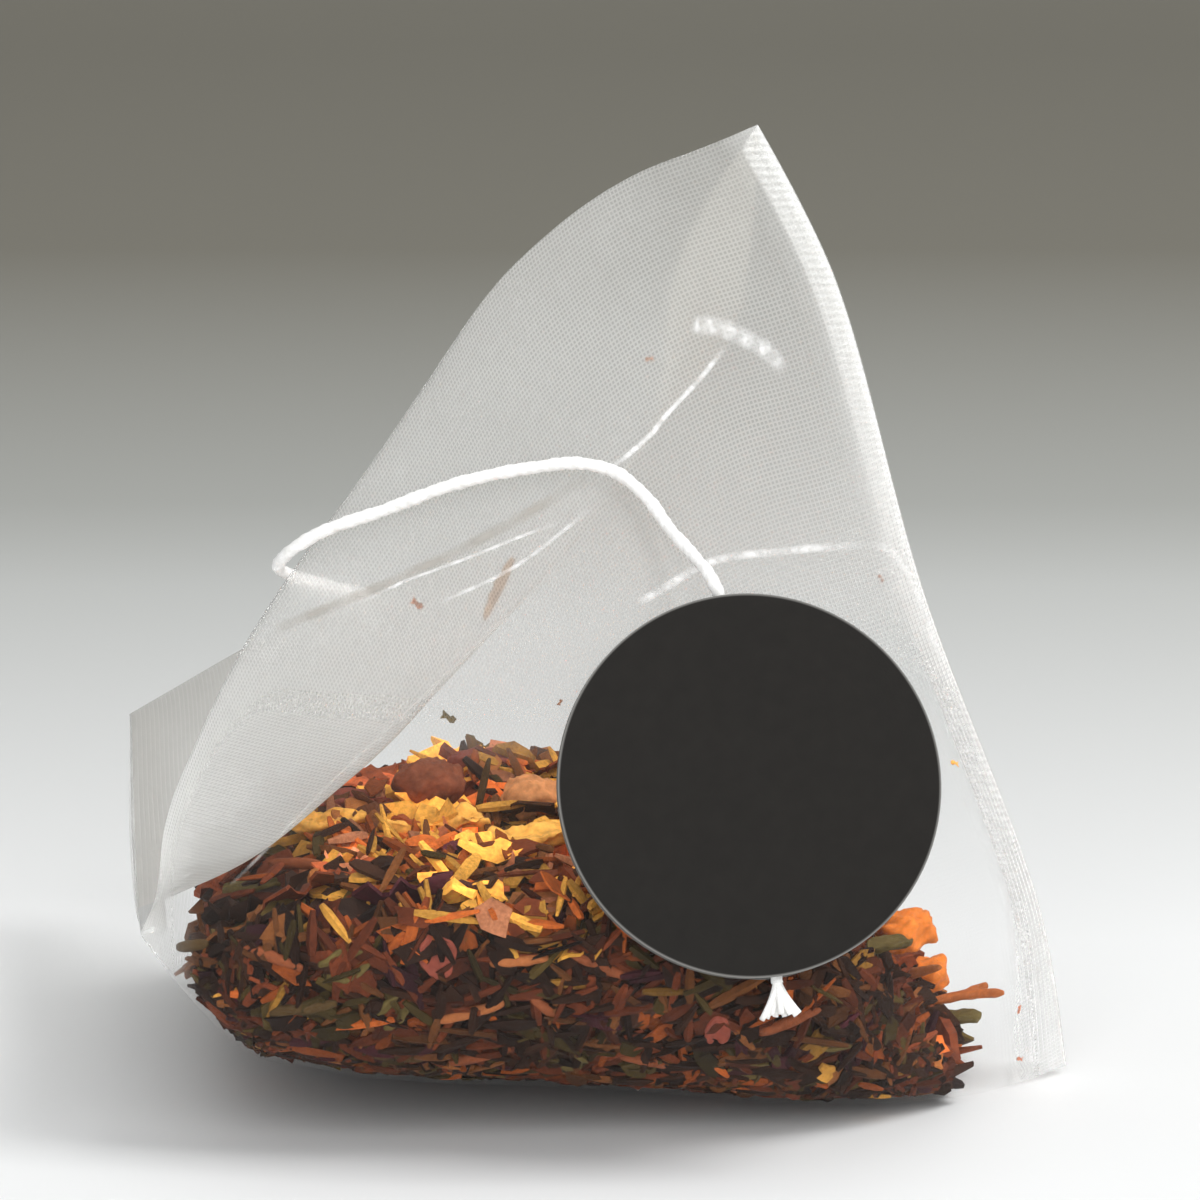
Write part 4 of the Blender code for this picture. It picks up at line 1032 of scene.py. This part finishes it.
for layer_name, layer in LEAF_LAYERS.items():
    leaf_layer(layer_name, *layer)

# Specks on the inside of the film: (guides passed, share of the tube's length, length in mm, colour)
FILM_SPECKS = [
    (.994, .173, .5, "brown_stem"), (1.688, .516, .9, "olive_leaf"), (1.921, .035, .5, "brown_stem"),
    (2.489, .032, .6, "golden_peel"), (3.471, .034, .5, "rust_peel"), (3.776, .036, .5, "rust_peel"),
    (1.140, .505, .8, "brown_stem"), (1.876, .391, .4, "brown_stem"), (7.055, .966, 2.0, "olive_leaf"),
]


def make_specks():
    """A few crumbs on the film's inner side."""
    rng = np.random.default_rng(31)
    spots = np.array([row[:2] for row in FILM_SPECKS])
    normal = on_grid(surface_normals(film_grid), film_shares, spots)
    places = on_grid(film_grid, film_shares, spots) - normal * FILM_CLEARANCE
    length = np.array([row[2] for row in FILM_SPECKS])
    sizes = np.column_stack((length, 0.55 * length, 0.3 * np.minimum(length, 0.8))) * MM
    colours = np.array([TEA_COLOURS[row[3]][0] for row in FILM_SPECKS]) * 1.2
    frames = turned_frames(normal, rng, 0.05)
    dress(scattered("film_specks", flake_form(3), places, frames, sizes, colours), LEAF, "loose_tea")


make_specks()

# Finish of each kind of whole piece: colour, grain scale, contrast, roughness, and how rough its form is
PIECE_FINISH = {
    "rooibos_needle": ((.21, .065, .028), 4200, 1.6, .75, .05),
    "leaf_needle": ((.07, .045, .018), 4200, 1.6, .8, .05),
    "stem_piece": ((.33, .12, .045), 3800, 1.4, .7, .05),
    "forked_stem": ((.42, .13, .04), 3800, 1.4, .7, .05),
    "green_leaf": ((.11, .088, .03), 3000, 1.6, .7, .1),
    "dark_leaf": ((.045, .02, .014), 3000, 1.8, .8, .1),
    "orange_peel": ((.86, .48, .11), 1800, 1.7, .55, .4),
    "petal": ((.24, .062, .045), 2400, 1.4, .6, .16),
    "apple_piece": ((.62, .29, .13), 1700, 1.7, .6, .36),
    "mango_piece": ((.8, .24, .04), 1700, 1.7, .45, .36),
    "berry_piece": ((.23, .075, .04), 2000, 1.9, .65, .42),
}

SCRAP_ON_FILM = "petal_1"


def narrowed(obj, shares):
    """Scale a piece's points about its middle, along its longest, second and third directions."""
    points, _ = mesh_arrays(obj.data)
    middle = points.mean(axis=0)
    axes = np.linalg.svd(points - middle, full_matrices=False)[2]
    points = middle + ((points - middle) @ axes.T * np.array(shares)) @ axes
    obj.data.vertices.foreach_set("co", points.astype(np.float32).ravel())
    obj.data.update()


def make_pieces():
    """Each whole tea piece of the CAD, refined and roughened into a dry, crumpled one."""
    scrap = plant_material("dull_scrap", 2400, 1.6, 0.8, (0.270, 0.210, 0.165))
    for kind, (colour, grain, contrast, rough, crumple) in PIECE_FINISH.items():
        finish = plant_material(f"dry_{kind}", grain, contrast, rough, colour)
        names = sorted(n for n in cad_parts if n.rsplit("_", 1)[0] == kind)
        for seed, name in enumerate(names):
            piece = refined(merged_copy(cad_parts[name], f"{name}_detail"), 2)
            roughen(piece, crumple * MM, 0.0016, 40 + seed)
            if name == SCRAP_ON_FILM:
                narrowed(piece, (0.9, 0.5, 0.9))
            dress(piece, scrap if name == SCRAP_ON_FILM else finish, kind, name)


make_pieces()
soft_light("overhead", (0.42, -0.14, 0.60), 0.35, 3.3)
soft_light("front_fill", (0.05, -0.74, 0.38), 0.7, 4.4)
soft_light("back", (-0.05, 0.52, 0.78), 1.0, 1.8)
backdrop()

world = bpy.data.worlds.new("studio")
bpy.context.scene.world = world
world.use_nodes = True
background = world.node_tree.nodes["Background"].inputs
background["Color"].default_value = (0.95, 0.97, 1.0, 1.0)
background["Strength"].default_value = 0.52
bpy.context.scene.view_settings.view_transform = "Standard"

bpy.context.view_layer.update()
